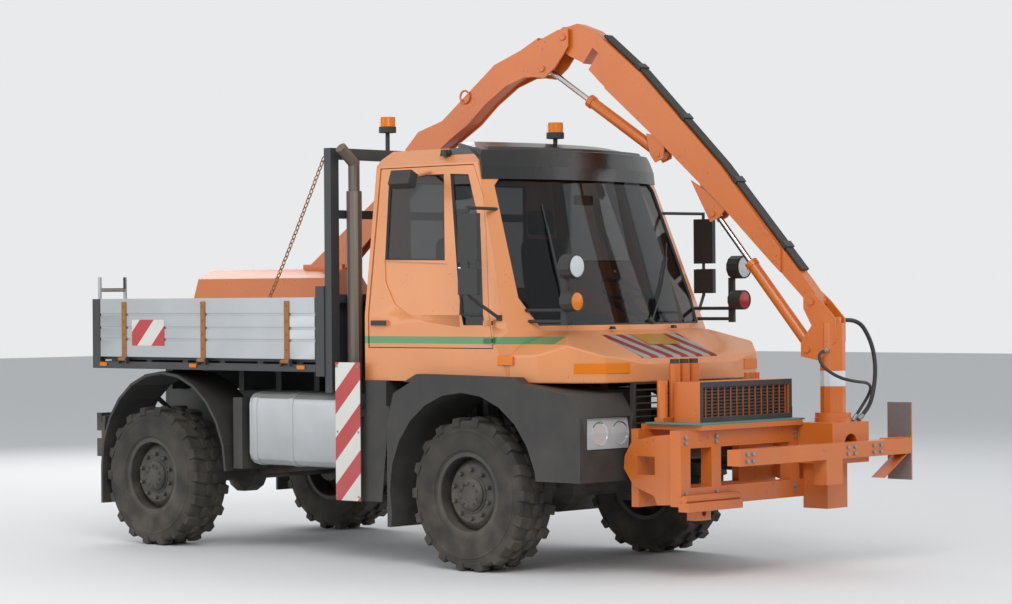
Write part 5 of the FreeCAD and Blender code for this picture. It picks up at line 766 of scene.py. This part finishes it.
# %% [markdown]
# The tyres are all-terrain ones on pressed steel rims. A tyre's wall is a turned profile with a
# bead, a scuff rib and a round shoulder. Its tread is two kinds of block, a long one that wraps
# over the shoulder and a short one beside the middle groove, and the repeater puts each kind
# round both sides, staggered by half a step. A rim is three turned profiles, the barrel, the
# dished disc and the hub, with ten nuts on the disc and ten small bolts on the hub.

# %% Wheels
TRACK_HALF, HUB_Z, FRONT_Y, REAR_Y = 0.935, 0.53, -0.985, 2.365
WALL = [(145, 270.5), (152, 284), (163, 296), (166, 304), (171, 306), (177, 332), (180, 362), (180, 402),
        (176, 428), (178, 433), (178, 441), (173, 446), (168, 470), (160, 496), (146, 506)]
RIM_BARREL = [(157, 292), (157, 262), (150, 258), (-150, 258), (-157, 262), (-157, 292), (-150, 290),
              (-145, 270), (145, 270), (150, 290)]
DISC = [(111, 0), (111, 196), (106, 206), (54, 250), (44, 260), (30, 260), (38, 246), (92, 200),
        (97, 190), (97, 0)]
HUB = [(104, 0), (104, 132), (116, 132), (119, 128), (119, 118), (133, 115), (143, 106), (151, 92),
       (151, 66), (146, 62), (146, 0)]
SHOULDER_BLOCK = [(62, -30), (150, -48), (166, -44), (166, 22), (150, 24), (70, 44), (62, 30)]
MIDDLE_BLOCK = [(6, -38), (44, -40), (54, -24), (50, 34), (38, 38), (10, 26)]
SHOULDER_DEEP, MIDDLE_DEEP = 34, 27
BLOCKS_ROUND, TREAD_RADIUS = 18, 0.5298
STUDS, STUD_RADIUS, DISC_FACE = 10, 0.1675, 0.111
HUB_BOLT_RADIUS, HUB_FACE = 0.079, 0.151


def block_mesh(plan, deep, wraps):
    """A tread block over its plan of (across, along), standing on Z; one that wraps has a sloped side."""
    bm = bmesh.new()
    low = [bm.verts.new((x * MM, y * 1.08 * MM, -deep * MM)) for x, y in plan]
    high = [bm.verts.new((x * MM * 0.985, y * MM * 0.93, 0)) for x, y in plan]
    bm.faces.new(low)
    bm.faces.new(high)
    for n in range(len(plan)):
        m = (n + 1) % len(plan)
        bm.faces.new((low[n], low[m], high[m], high[n]))
    outer = max(x for x, _ in plan)
    for v in low:
        if wraps and v.co.x > 0.9 * outer * MM:
            v.co.x += 10 * MM
            v.co.z -= 26 * MM
    bmesh.ops.recalc_face_normals(bm, faces=bm.faces)
    bmesh.ops.bevel(bm, geom=[e for e in bm.edges if e.calc_face_angle(0) > 0.5], offset=2.5 * MM,
                    segments=1, affect="EDGES")
    return as_mesh("tread_block", bm)


def round_tread(hub, across, phase):
    """Places of one row of blocks around a tyre, on the side that across (1 or -1) tells."""
    out = []
    for a in angles(BLOCKS_ROUND, phase):
        up = Vector((0, math.sin(a), math.cos(a)))
        right = Vector((across, 0, 0))
        turn = Matrix((right, up.cross(right), up)).transposed()
        out.append((Vector(hub) + up * TREAD_RADIUS, tuple(turn.to_euler())))
    return out


def round_hub(hub, sign, radius, face):
    """Places of ten fasteners on a circle, on a face that lies off the wheel's middle."""
    return [(Vector(hub) + Vector((0, math.sin(a), math.cos(a))) * radius + Vector((sign * face, 0, 0)),
             aim((sign, 0, 0))) for a in angles(STUDS)]


tread_rows = (("shoulder", block_mesh(SHOULDER_BLOCK, SHOULDER_DEEP, True), 0.0),
              ("middle", block_mesh(MIDDLE_BLOCK, MIDDLE_DEEP, False), 0.45))
for end, y in (("front", FRONT_Y), ("rear", REAR_Y)):
    for side, sign in (("left", 1), ("right", -1)):
        hub, corner = (sign * TRACK_HALF, y, HUB_Z), "%s_%s" % (end, side)
        body = "wheel_" + corner
        outline = WALL + [(-a, r) for a, r in reversed(WALL)]
        tyre = turned("tyre_%s_wall" % corner, outline, hub, (sign, 0, 0), 96, rubber, body, True)
        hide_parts("tyre_" + corner)
        for row, mesh, phase in tread_rows:
            places = round_tread(hub, 1, phase) + round_tread(hub, -1, phase + 0.5)
            repeated("tread_%s_%s" % (row, corner), mesh, places, rubber, body, change=0.004)
        bm = bmesh.new()
        for profile, closed in ((RIM_BARREL, True), (DISC, False), (HUB, False)):
            spun(bm, profile, hub, (sign, 0, 0), 72, closed)
        rim = finished("rim_%s_turned" % corner, bm, wheel_paint, body)
        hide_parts("rim_" + corner)
        nuts = round_hub(hub, sign, STUD_RADIUS, DISC_FACE)
        repeated("nuts_" + corner, NUT, nuts, wheel_paint, body)
        small = round_hub(hub, sign, HUB_BOLT_RADIUS, HUB_FACE)
        repeated("hub_bolts_" + corner, bolt_mesh(15, 8), small, wheel_paint, body)
print("wheels dressed")

# %% [markdown]
# Two runs of hose hang free at the column: a stiff bundle that comes down from the boom's foot on
# the outer side, and a softer loop that sweeps round the front. Each is one smooth NURBS line
# whose control points are the route of the CAD model, in metres.

# %% Free hoses at the column
BUNDLE_ROUTE = [(0.7595, -2.770, 1.700), (0.945, -2.790, 1.725), (1.012, -2.860, 1.570),
                (1.014, -2.900, 1.390), (0.985, -2.900, 1.210), (0.930, -2.890, 1.085),
                (0.845, -2.868, 1.023)]
LOOP_ROUTE = [(0.579, -2.797, 1.500), (0.450, -2.820, 1.490), (0.380, -2.900, 1.400),
              (0.440, -3.000, 1.320), (0.590, -3.040, 1.290), (0.750, -3.020, 1.280),
              (0.870, -2.965, 1.235), (0.890, -2.890, 1.135), (0.805, -2.852, 1.0171)]


def hose(name, node, route, diameter):
    """A free hose as a smooth NURBS line that stands for its CAD solid."""
    data = bpy.data.curves.new(name, "CURVE")
    data.dimensions = "3D"
    data.bevel_depth = diameter / 2
    data.bevel_resolution = 6
    data.use_fill_caps = True
    spline = data.splines.new("NURBS")
    spline.points.add(len(route) - 1)
    for point, place in zip(spline.points, route):
        point.co = (*place, 1.0)
    spline.order_u = 3
    spline.use_endpoint_u = True
    spline.resolution_u = 24
    data.materials.append(hose_rubber)
    obj = bpy.data.objects.new(name, data)
    bpy.context.scene.collection.objects.link(obj)
    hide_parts(node)
    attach(obj, "column")


hose("hose_bundle", "cord_bundle", BUNDLE_ROUTE, 0.030)
hose("hose_loop", "cord_loop", LOOP_ROUTE, 0.022)
print("hoses: 2")

# %% [markdown]
# The seats are soft: each cushion is a crowned closed form whose sides pull in between its
# corners, with two sewn channels along it. Only the part that rests on the pedestal is flat.
# A finely divided cube is rounded first, and its faces are then lifted, pulled in and grooved.
# Its numbers are shares of the cushion's own half size, apart from the depths in mm.

# %% Seats
PULL_IN, SEAM_DEPTH, CHANNEL_DEEP_MM = 0.05, 0.02, 5
CHANNELS, CHANNEL_WIDTH, SEAM_AT, SEAM_WIDTH = (-0.45, 0.45), 0.035, 0.55, 0.12
SEAT_X = 450
PEDESTAL, SEAT_PAN = ((-190, -735, 1320), (190, -400, 1560)), ((-230, -790, 1560), (230, -345, 1640))
CUSHION, BACK_REST = ((-245, -812, 1641), (245, -340, 1756)), ((-235, -425, 1730), (235, -318, 2325))
HEADREST = ((-120, -335, 2335), (120, -240, 2525))


def at_seat(box, x):
    """The two corners of a box in mm, moved sideways to a seat's middle."""
    return [(x + a, b, c) for a, b, c in box]


def pad(name, low, high, crown, lean=0.0, channels=CHANNELS, flat_below=True):
    """A stuffed cushion between two corners in mm; crown is its rise, lean tips a back rearwards."""
    bm = bmesh.new()
    bmesh.ops.create_cube(bm, size=2.0)
    bmesh.ops.subdivide_edges(bm, edges=bm.edges, cuts=19, use_grid_fill=True)
    middle = [(a + b) / 2 for a, b in zip(low, high)]
    half_size = [(b - a) / 2 for a, b in zip(low, high)]
    thin = half_size.index(min(half_size))
    wide, long = [k for k in range(3) if k != thin]
    for v in bm.verts:
        p = list(v.co)
        total = sum(abs(c) ** 5 for c in p) ** 0.2
        p = [c / total for c in p]
        pull_wide, pull_long = 1 - PULL_IN * (1 - p[long] ** 2), 1 - PULL_IN * (1 - p[wide] ** 2)
        dome = 1 - (p[wide] ** 2 + p[long] ** 2) / 2
        groove = sum(math.exp(-((p[wide] - c) / CHANNEL_WIDTH) ** 2) for c in channels)
        seam = math.exp(-((abs(p[thin]) - SEAM_AT) / SEAM_WIDTH) ** 2) * SEAM_DEPTH
        q = [0.0] * 3
        q[wide] = p[wide] * (pull_wide - seam) * half_size[wide]
        q[long] = p[long] * (pull_long - seam) * half_size[long]
        shaped = 0.0 if flat_below and p[thin] <= 0 else 1.0
        rise = crown * (dome - 0.6) - CHANNEL_DEEP_MM * groove
        q[thin] = p[thin] * half_size[thin] + shaped * math.copysign(p[thin] ** 2, p[thin]) * rise
        v.co = Vector([(m + c) * MM for m, c in zip(middle, q)])
        if lean:
            v.co.y += lean * (v.co.z - low[2] * MM)
    obj = finished(name, bm, seat_cloth, "root")
    obj.data.set_sharp_from_angle(angle=math.pi)


for side, x in (("right", -SEAT_X), ("left", SEAT_X)):
    bm = bmesh.new()
    cased(bm, *at_seat(PEDESTAL, x))
    cased(bm, *at_seat(SEAT_PAN, x))
    bmesh.ops.bevel(bm, geom=list(bm.edges), offset=0.012, segments=2, affect="EDGES")
    pedestal = finished("seat_base_" + side, bm, dash_plastic, "root")
    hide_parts("seats")
    pad("seat_cushion_" + side, *at_seat(CUSHION, x), 14)
    pad("seat_back_" + side, *at_seat(BACK_REST, x), 16, lean=0.13, flat_below=False)
    pad("headrest_" + side, *at_seat(HEADREST, x), 8, lean=0.1, channels=(), flat_below=False)
print("seats: 2")

# %% [markdown]
# The small parts that the eye expects come last. A foil and a blank plate lie on the crowned
# bonnet, and a flat sheet would cut into it, so each point of a grid is dropped onto the skin
# and lifted a little along the skin's normal. The bed's side is flat and takes a plain box.

# %% Sheets that follow a skin
FOIL = [(-480, -1680), (330, -1680), (330, -2040), (-480, -2040)]
PLATE = [(-190, -1690), (150, -1690), (150, -1860), (-190, -1860)]
SIDE_FOIL = ((-1153.5, 2140, 1530), (-1150.4, 2520, 1728))
DROP_HEIGHT = 3.0


def laid(name, corners, finish, lift=1.5, thick=1.2, steps=24):
    """A thin sheet between four corners (x, y) in mm, laid on the bonnet from above."""
    tree = skin_of("bonnet")
    bm = bmesh.new()
    (ax, ay), (bx, by), (cx, cy), (dx, dy) = corners
    grid = []
    for i in range(steps + 1):
        row = []
        for j in range(steps + 1):
            s, t = i / steps, j / steps
            x = (ax * (1 - s) + bx * s) * (1 - t) + (dx * (1 - s) + cx * s) * t
            y = (ay * (1 - s) + by * s) * (1 - t) + (dy * (1 - s) + cy * s) * t
            hit = tree.ray_cast(Vector((x * MM, y * MM, DROP_HEIGHT)), Vector((0, 0, -1)))
            row.append(bm.verts.new(hit[0] + hit[1] * lift * MM))
        grid.append(row)
    for first, second in zip(grid, grid[1:]):
        for j in range(steps):
            bm.faces.new((first[j], second[j], second[j + 1], first[j + 1]))
    bmesh.ops.solidify(bm, geom=list(bm.faces), thickness=thick * MM)
    # The rim comes in no fixed order, so points and faces are ranked by place.
    for parts, place in ((bm.verts, lambda vert: tuple(vert.co)),
                         (bm.faces, lambda face: tuple(face.calc_center_median()))):
        rank = {part: n for n, part in enumerate(sorted(parts, key=place))}
        parts.sort(key=rank.get)
    finished(name, bm, finish, "root")


laid("bonnet_foil", FOIL, flat_foil)
laid("blank_plate", PLATE, plate_yellow, lift=6, thick=3)
bm = bmesh.new()
cased(bm, *SIDE_FOIL)
finished("side_foil", bm, hazard_foil, "sideboard_right")
print("foils laid: 3")

# %% [markdown]
# Each pane sits in a rubber seal, and its round outer lip is what catches the light. The lip
# follows the pane's outer rim, which is where a large outward face of the glass ends, so a
# short round bar is swept along each edge there.

# %% Rubber seals round the glass
CAB_MIDDLE = Vector((0, -0.7, 2.2))
PANE_M2 = 0.02


def sealed(name, node, body, r):
    """A round rubber seal along the outer rim of each pane of a glass solid."""
    source = merged_copy(node)
    source.normal_update()
    outward = {face for face in source.faces if face.calc_area() > PANE_M2
               and face.normal.dot(face.calc_center_median() - CAB_MIDDLE) > 0}
    bm = bmesh.new()
    for edge in source.edges:
        if len([face for face in edge.link_faces if face in outward]) == 1:
            a, b = (v.co / MM for v in edge.verts)
            swept(bm, [a, (a + b) / 2, b], r, 8)
    source.free()
    finished(name, bm, black_plastic, body)


sealed("cab_seals", "cab_glass", "root", 12)
for side in ("right", "left"):
    sealed("door_seals_" + side, "door_glass_" + side, "door_" + side, 10)
print("seals ready")

# %% [markdown]
# A lamp is a bright bowl behind a ribbed lens in a black rim. The lens is domed, and its rings
# break up what is seen of the bowl. Each is a turned profile. The headlamps have only bowls
# here, because their clear covers are part of the CAD model.

# %% Lamps with bowls and lenses
WORK_LAMP_X, WORK_LAMP_Y, WORK_LAMP_Z, LOW_LAMP_Z = 905, -1830.5, 2085, 1850
HEADLAMP_XS, HEADLAMP_Y, HEADLAMP_Z = (735, 940), -2.052, 0.97
HEAD_BOWL = [(0, 0), (0, 78), (4, 80), (8, 78), (-10, 60), (-28, 30), (-34, 0)]


def round_lamp(name, place_mm, r, lens):
    """A bright bowl, a black rim and a domed lens with rings, looking forwards, in mm."""
    place = [v * MM for v in place_mm]
    rim = [(-2, r), (9, r), (12, r - 3), (9, r - 7), (-2, r - 7)]
    rings = [(6 + 5 * (1 - (k / 10) ** 2) + (0.8 if k % 2 else 0), (r - 8) * k / 10) for k in range(11)]
    turned(name + "_rim", rim, place, FRONT, 48, black_plastic, "root", True)
    turned(name + "_bowl", [(1, r - 8), (1, 0)], place, FRONT, 48, mirror_silver, "root")
    turned(name + "_lens", rings + [(3, r - 8), (3, 0)], place, FRONT, 48, lens, "root")


for side, sign, low_lens in (("right", -1, amber_lens), ("left", 1, red_lens)):
    x = sign * WORK_LAMP_X
    round_lamp("work_lamp_" + side, (x, WORK_LAMP_Y, WORK_LAMP_Z), 80, clear_lens)
    round_lamp("low_lamp_" + side, (x, WORK_LAMP_Y, LOW_LAMP_Z), 68, low_lens)
for side, sign in (("right", -1), ("left", 1)):
    for n, x in enumerate(HEADLAMP_XS):
        turned("head_bowl_%s_%d" % (side, n), HEAD_BOWL, (sign * x * MM, HEADLAMP_Y, HEADLAMP_Z),
               FRONT, 40, mirror_silver, "root")
print("lamps: 8")

# %% [markdown]
# The mirrors' glass is turned to the driver by so little that a thin upright sheet behind the
# black head does it. Wipers lie on the curved screen, so their points are found on it by rays
# from the front and joined by a swept bar. The roof camera, the washer nozzles and the mirror
# inside the cab are plain moulded blocks.

# %% Mirrors, wipers and roof parts
MIRROR_X, MIRROR_HALF, MIRROR_FRONT_Y, MIRROR_BACK_Y = 1265, 12, -1089.5, -1087.5
MIRROR_HEIGHTS = ((2128, 2442), (1975, 2085))
WIPERS = (((-640, 1705), (-560, 2360)), ((120, 1700), (640, 2150)))
SCREEN_EDGE_X = 800
NOZZLE_XS, ROOF_CAMERA = (-330, 330), ((-905, -620, 2872), (-845, -560, 2918))
CAMERA_EYE = (-0.875, -0.62, 2.895)
INNER_MIRROR, MIRROR_STALK = ((-95, -1112, 2530), (95, -1090, 2600)), ((0, -1095, 2600), (0, -1070, 2700))
for side, sign in (("right", -1), ("left", 1)):
    x = sign * MIRROR_X
    for n, (low, high) in enumerate(MIRROR_HEIGHTS):
        bm = bmesh.new()
        cased(bm, (x - MIRROR_HALF, MIRROR_FRONT_Y, low), (x + MIRROR_HALF, MIRROR_BACK_Y, high))
        finished("mirror_glass_%s_%d" % (side, n), bm, mirror_silver, "root")
bm = bmesh.new()
glass_tree = skin_of("cab_glass")


def on_screen(x, z, lift):
    """A point in mm in front of the windscreen at x and z."""
    hit = glass_tree.ray_cast(Vector((x * MM, -4.0, z * MM)), Vector((0, 1, 0)))
    return (hit[0] + hit[1] * lift * MM) / MM


for pivot, tip in WIPERS:
    base, end = Vector(pivot), Vector(tip)
    swept(bm, [on_screen(*base.lerp(end, k / 6), lift=26 - 10 * k / 6) for k in range(7)], 7)
    blade = [base.lerp(end, 0.3).lerp(base.lerp(end, 1.25), k / 12) for k in range(13)]
    swept(bm, [on_screen(min(x, SCREEN_EDGE_X), z, lift=8) for x, z in blade], 5.5, 6)
    knuckle = [v * MM for v in on_screen(*pivot, lift=16)]
    spun(bm, [(-14, 0), (-14, 24), (12, 22), (16, 14), (16, 0)], knuckle, (0, -0.92, 0.38), 20, False)
finished("wipers", bm, black_plastic, "root")
bm = bmesh.new()
for x in NOZZLE_XS:
    cased(bm, (x - 18, -1668, 1655), (x + 18, -1632, 1676), taper=0.7)
cased(bm, *ROOF_CAMERA, taper=0.8)
spun(bm, [(0, 0), (0, 17), (14, 16), (14, 0)], CAMERA_EYE, FRONT, 20, False)
finished("nozzles_and_roof_camera", bm, black_plastic, "root")
bm = bmesh.new()
cased(bm, *INNER_MIRROR)
swept(bm, MIRROR_STALK, 7)
bmesh.ops.bevel(bm, geom=list(bm.edges), offset=0.006, segments=2, affect="EDGES")
finished("rear_view_mirror", bm, black_plastic, "root")
print("mirrors, wipers and roof parts ready")

# %% [markdown]
# A guy chain runs from the headboard's top corner down to the bed's edge. Its links are one
# small ring, laid along the line and turned by a quarter from link to link. The lifting ring
# on the arm is the same shape, larger and rounder.

# %% Chain and lifting ring
CHAIN_TOP, CHAIN_FOOT = Vector((-1.118, 0.392, 2.90)), Vector((-1.096, 1.272, 1.478))
CHAIN_LINKS, CHAIN_SAG = 46, 0.03
RING_PLACE, RING_TURN = Vector((0.083, 0.141, 3.372)), math.radians(99)


def ring_mesh(name, long, wide, wire, around=16, sides=8):
    """A ring of round wire that lies in the XZ plane and is long in Z, in mm."""
    bm = bmesh.new()
    line = [Vector((wide * math.cos(a), 0, long * math.sin(a))) for a in angles(around)]
    across = Vector((0, 1, 0))
    rings = []
    for n, point in enumerate(line):
        ahead = (line[(n + 1) % around] - line[n - 1]).normalized()
        normal = ahead.cross(across).normalized()
        rings.append([bm.verts.new((point + (normal * math.cos(a) + across * math.sin(a)) * wire) * MM)
                      for a in angles(sides)])
    for n, first in enumerate(rings):
        second = rings[(n + 1) % around]
        for k in range(sides):
            m = (k + 1) % sides
            bm.faces.new((first[k], first[m], second[m], second[k]))
    bmesh.ops.recalc_face_normals(bm, faces=bm.faces)
    return as_mesh(name, bm)


along_chain = (CHAIN_FOOT - CHAIN_TOP).to_track_quat("Z", "Y").to_matrix()
links = []
for n in range(CHAIN_LINKS):
    t = (n + 0.5) / CHAIN_LINKS
    sag = Vector((0, 0, -CHAIN_SAG * math.sin(math.pi * t)))
    turn = along_chain @ Matrix.Rotation(math.pi / 2 * (n % 2), 3, "Z")
    links.append((CHAIN_TOP.lerp(CHAIN_FOOT, t) + sag, tuple(turn.to_euler())))
repeated("guy_chain", ring_mesh("link", 22, 13, 4.2), links, rusty_steel, "root")
repeated("lifting_ring", ring_mesh("ring", 46, 40, 8, 32, 10), [(RING_PLACE, (0, 0, RING_TURN))],
         tool_paint, "arm")
print("chain links:", len(links))

# %% [markdown]
# Bolts and rivets sit where plates are really screwed together: round the column's foot, along
# the slide frame and the cross beam, and through straps, boards and wing stays. Rows of them
# are every mix of a few lengths, heights and widths, in mm, that the CAD model gives.

# %% Bolts and rivets
RIVET = bolt_mesh(14, 6, washer=False)
FLANGE_X, FLANGE_Y, FLANGE_Z, FLANGE_RADIUS, FLANGE_BOLTS = 0.670, -2.783, 1.0443, 0.104, 8
SLIDE_XS, SLIDE_ZS = (-750, -430, 430, 750), (548, 585, 915, 952)
BEAM_XS, BEAM_ZS = (-620, -560, 480, 560, 780, 860), (805, 850)


def rows(xs, ys, zs, direction):
    """Bolt places at every mix of the given millimetre values."""
    return [(Vector((x, y, z)) * MM, aim(direction)) for x in xs for y in ys for z in zs]


round_flange = [(Vector((FLANGE_X + FLANGE_RADIUS * math.cos(a), FLANGE_Y + FLANGE_RADIUS * math.sin(a),
                         FLANGE_Z)), aim((0, 0, 1))) for a in angles(FLANGE_BOLTS, 0.5)]
repeated("flange_bolts", BOLT, round_flange, tool_paint, "column")
repeated("slide_frame_bolts", BOLT, rows(SLIDE_XS, [-2635], SLIDE_ZS, FRONT), zinc, "root")
repeated("beam_bolts", BOLT, rows(BEAM_XS, [-3045], BEAM_ZS, FRONT), zinc, "root")
for side, sign in (("right", -1), ("left", 1)):
    out = (sign, 0, 0)
    on_straps = rows([sign * 1158.3], (765, 1690, 2615), (1510, 1620, 1718, 1830), out)
    on_boards = rows([sign * 1132], (45, 260), (470, 930, 1395), out)
    on_wings = rows([sign * 1060.5], (-1330, -880), [1330], out)
    repeated("strap_rivets_" + side, RIVET, on_straps, rusty_steel, "sideboard_" + side)
    repeated("board_screws_" + side, RIVET, on_boards, zinc, "root")
    repeated("wing_screws_" + side, RIVET, on_wings, zinc, "root")
print("bolts ready")

# %% [markdown]
# A hydraulic hose ends in a steel ferrule pressed onto it, so a turned collar sits at both ends
# of each free hose and points along its first stretch.

# %% Hose ends
for node, route, r in (("hose_bundle", BUNDLE_ROUTE, 15), ("hose_loop", LOOP_ROUTE, 11)):
    for n, (end, inner) in enumerate(((route[0], route[1]), (route[-1], route[-2]))):
        collar = [(-4, 0), (-4, r + 7), (10, r + 7), (12, r + 4), (44, r + 4), (48, r + 1), (48, 0)]
        turned("%s_ferrule_%d" % (node, n), collar, end, Vector(inner) - Vector(end), 24, zinc, "column")
print("hose ends: 4")
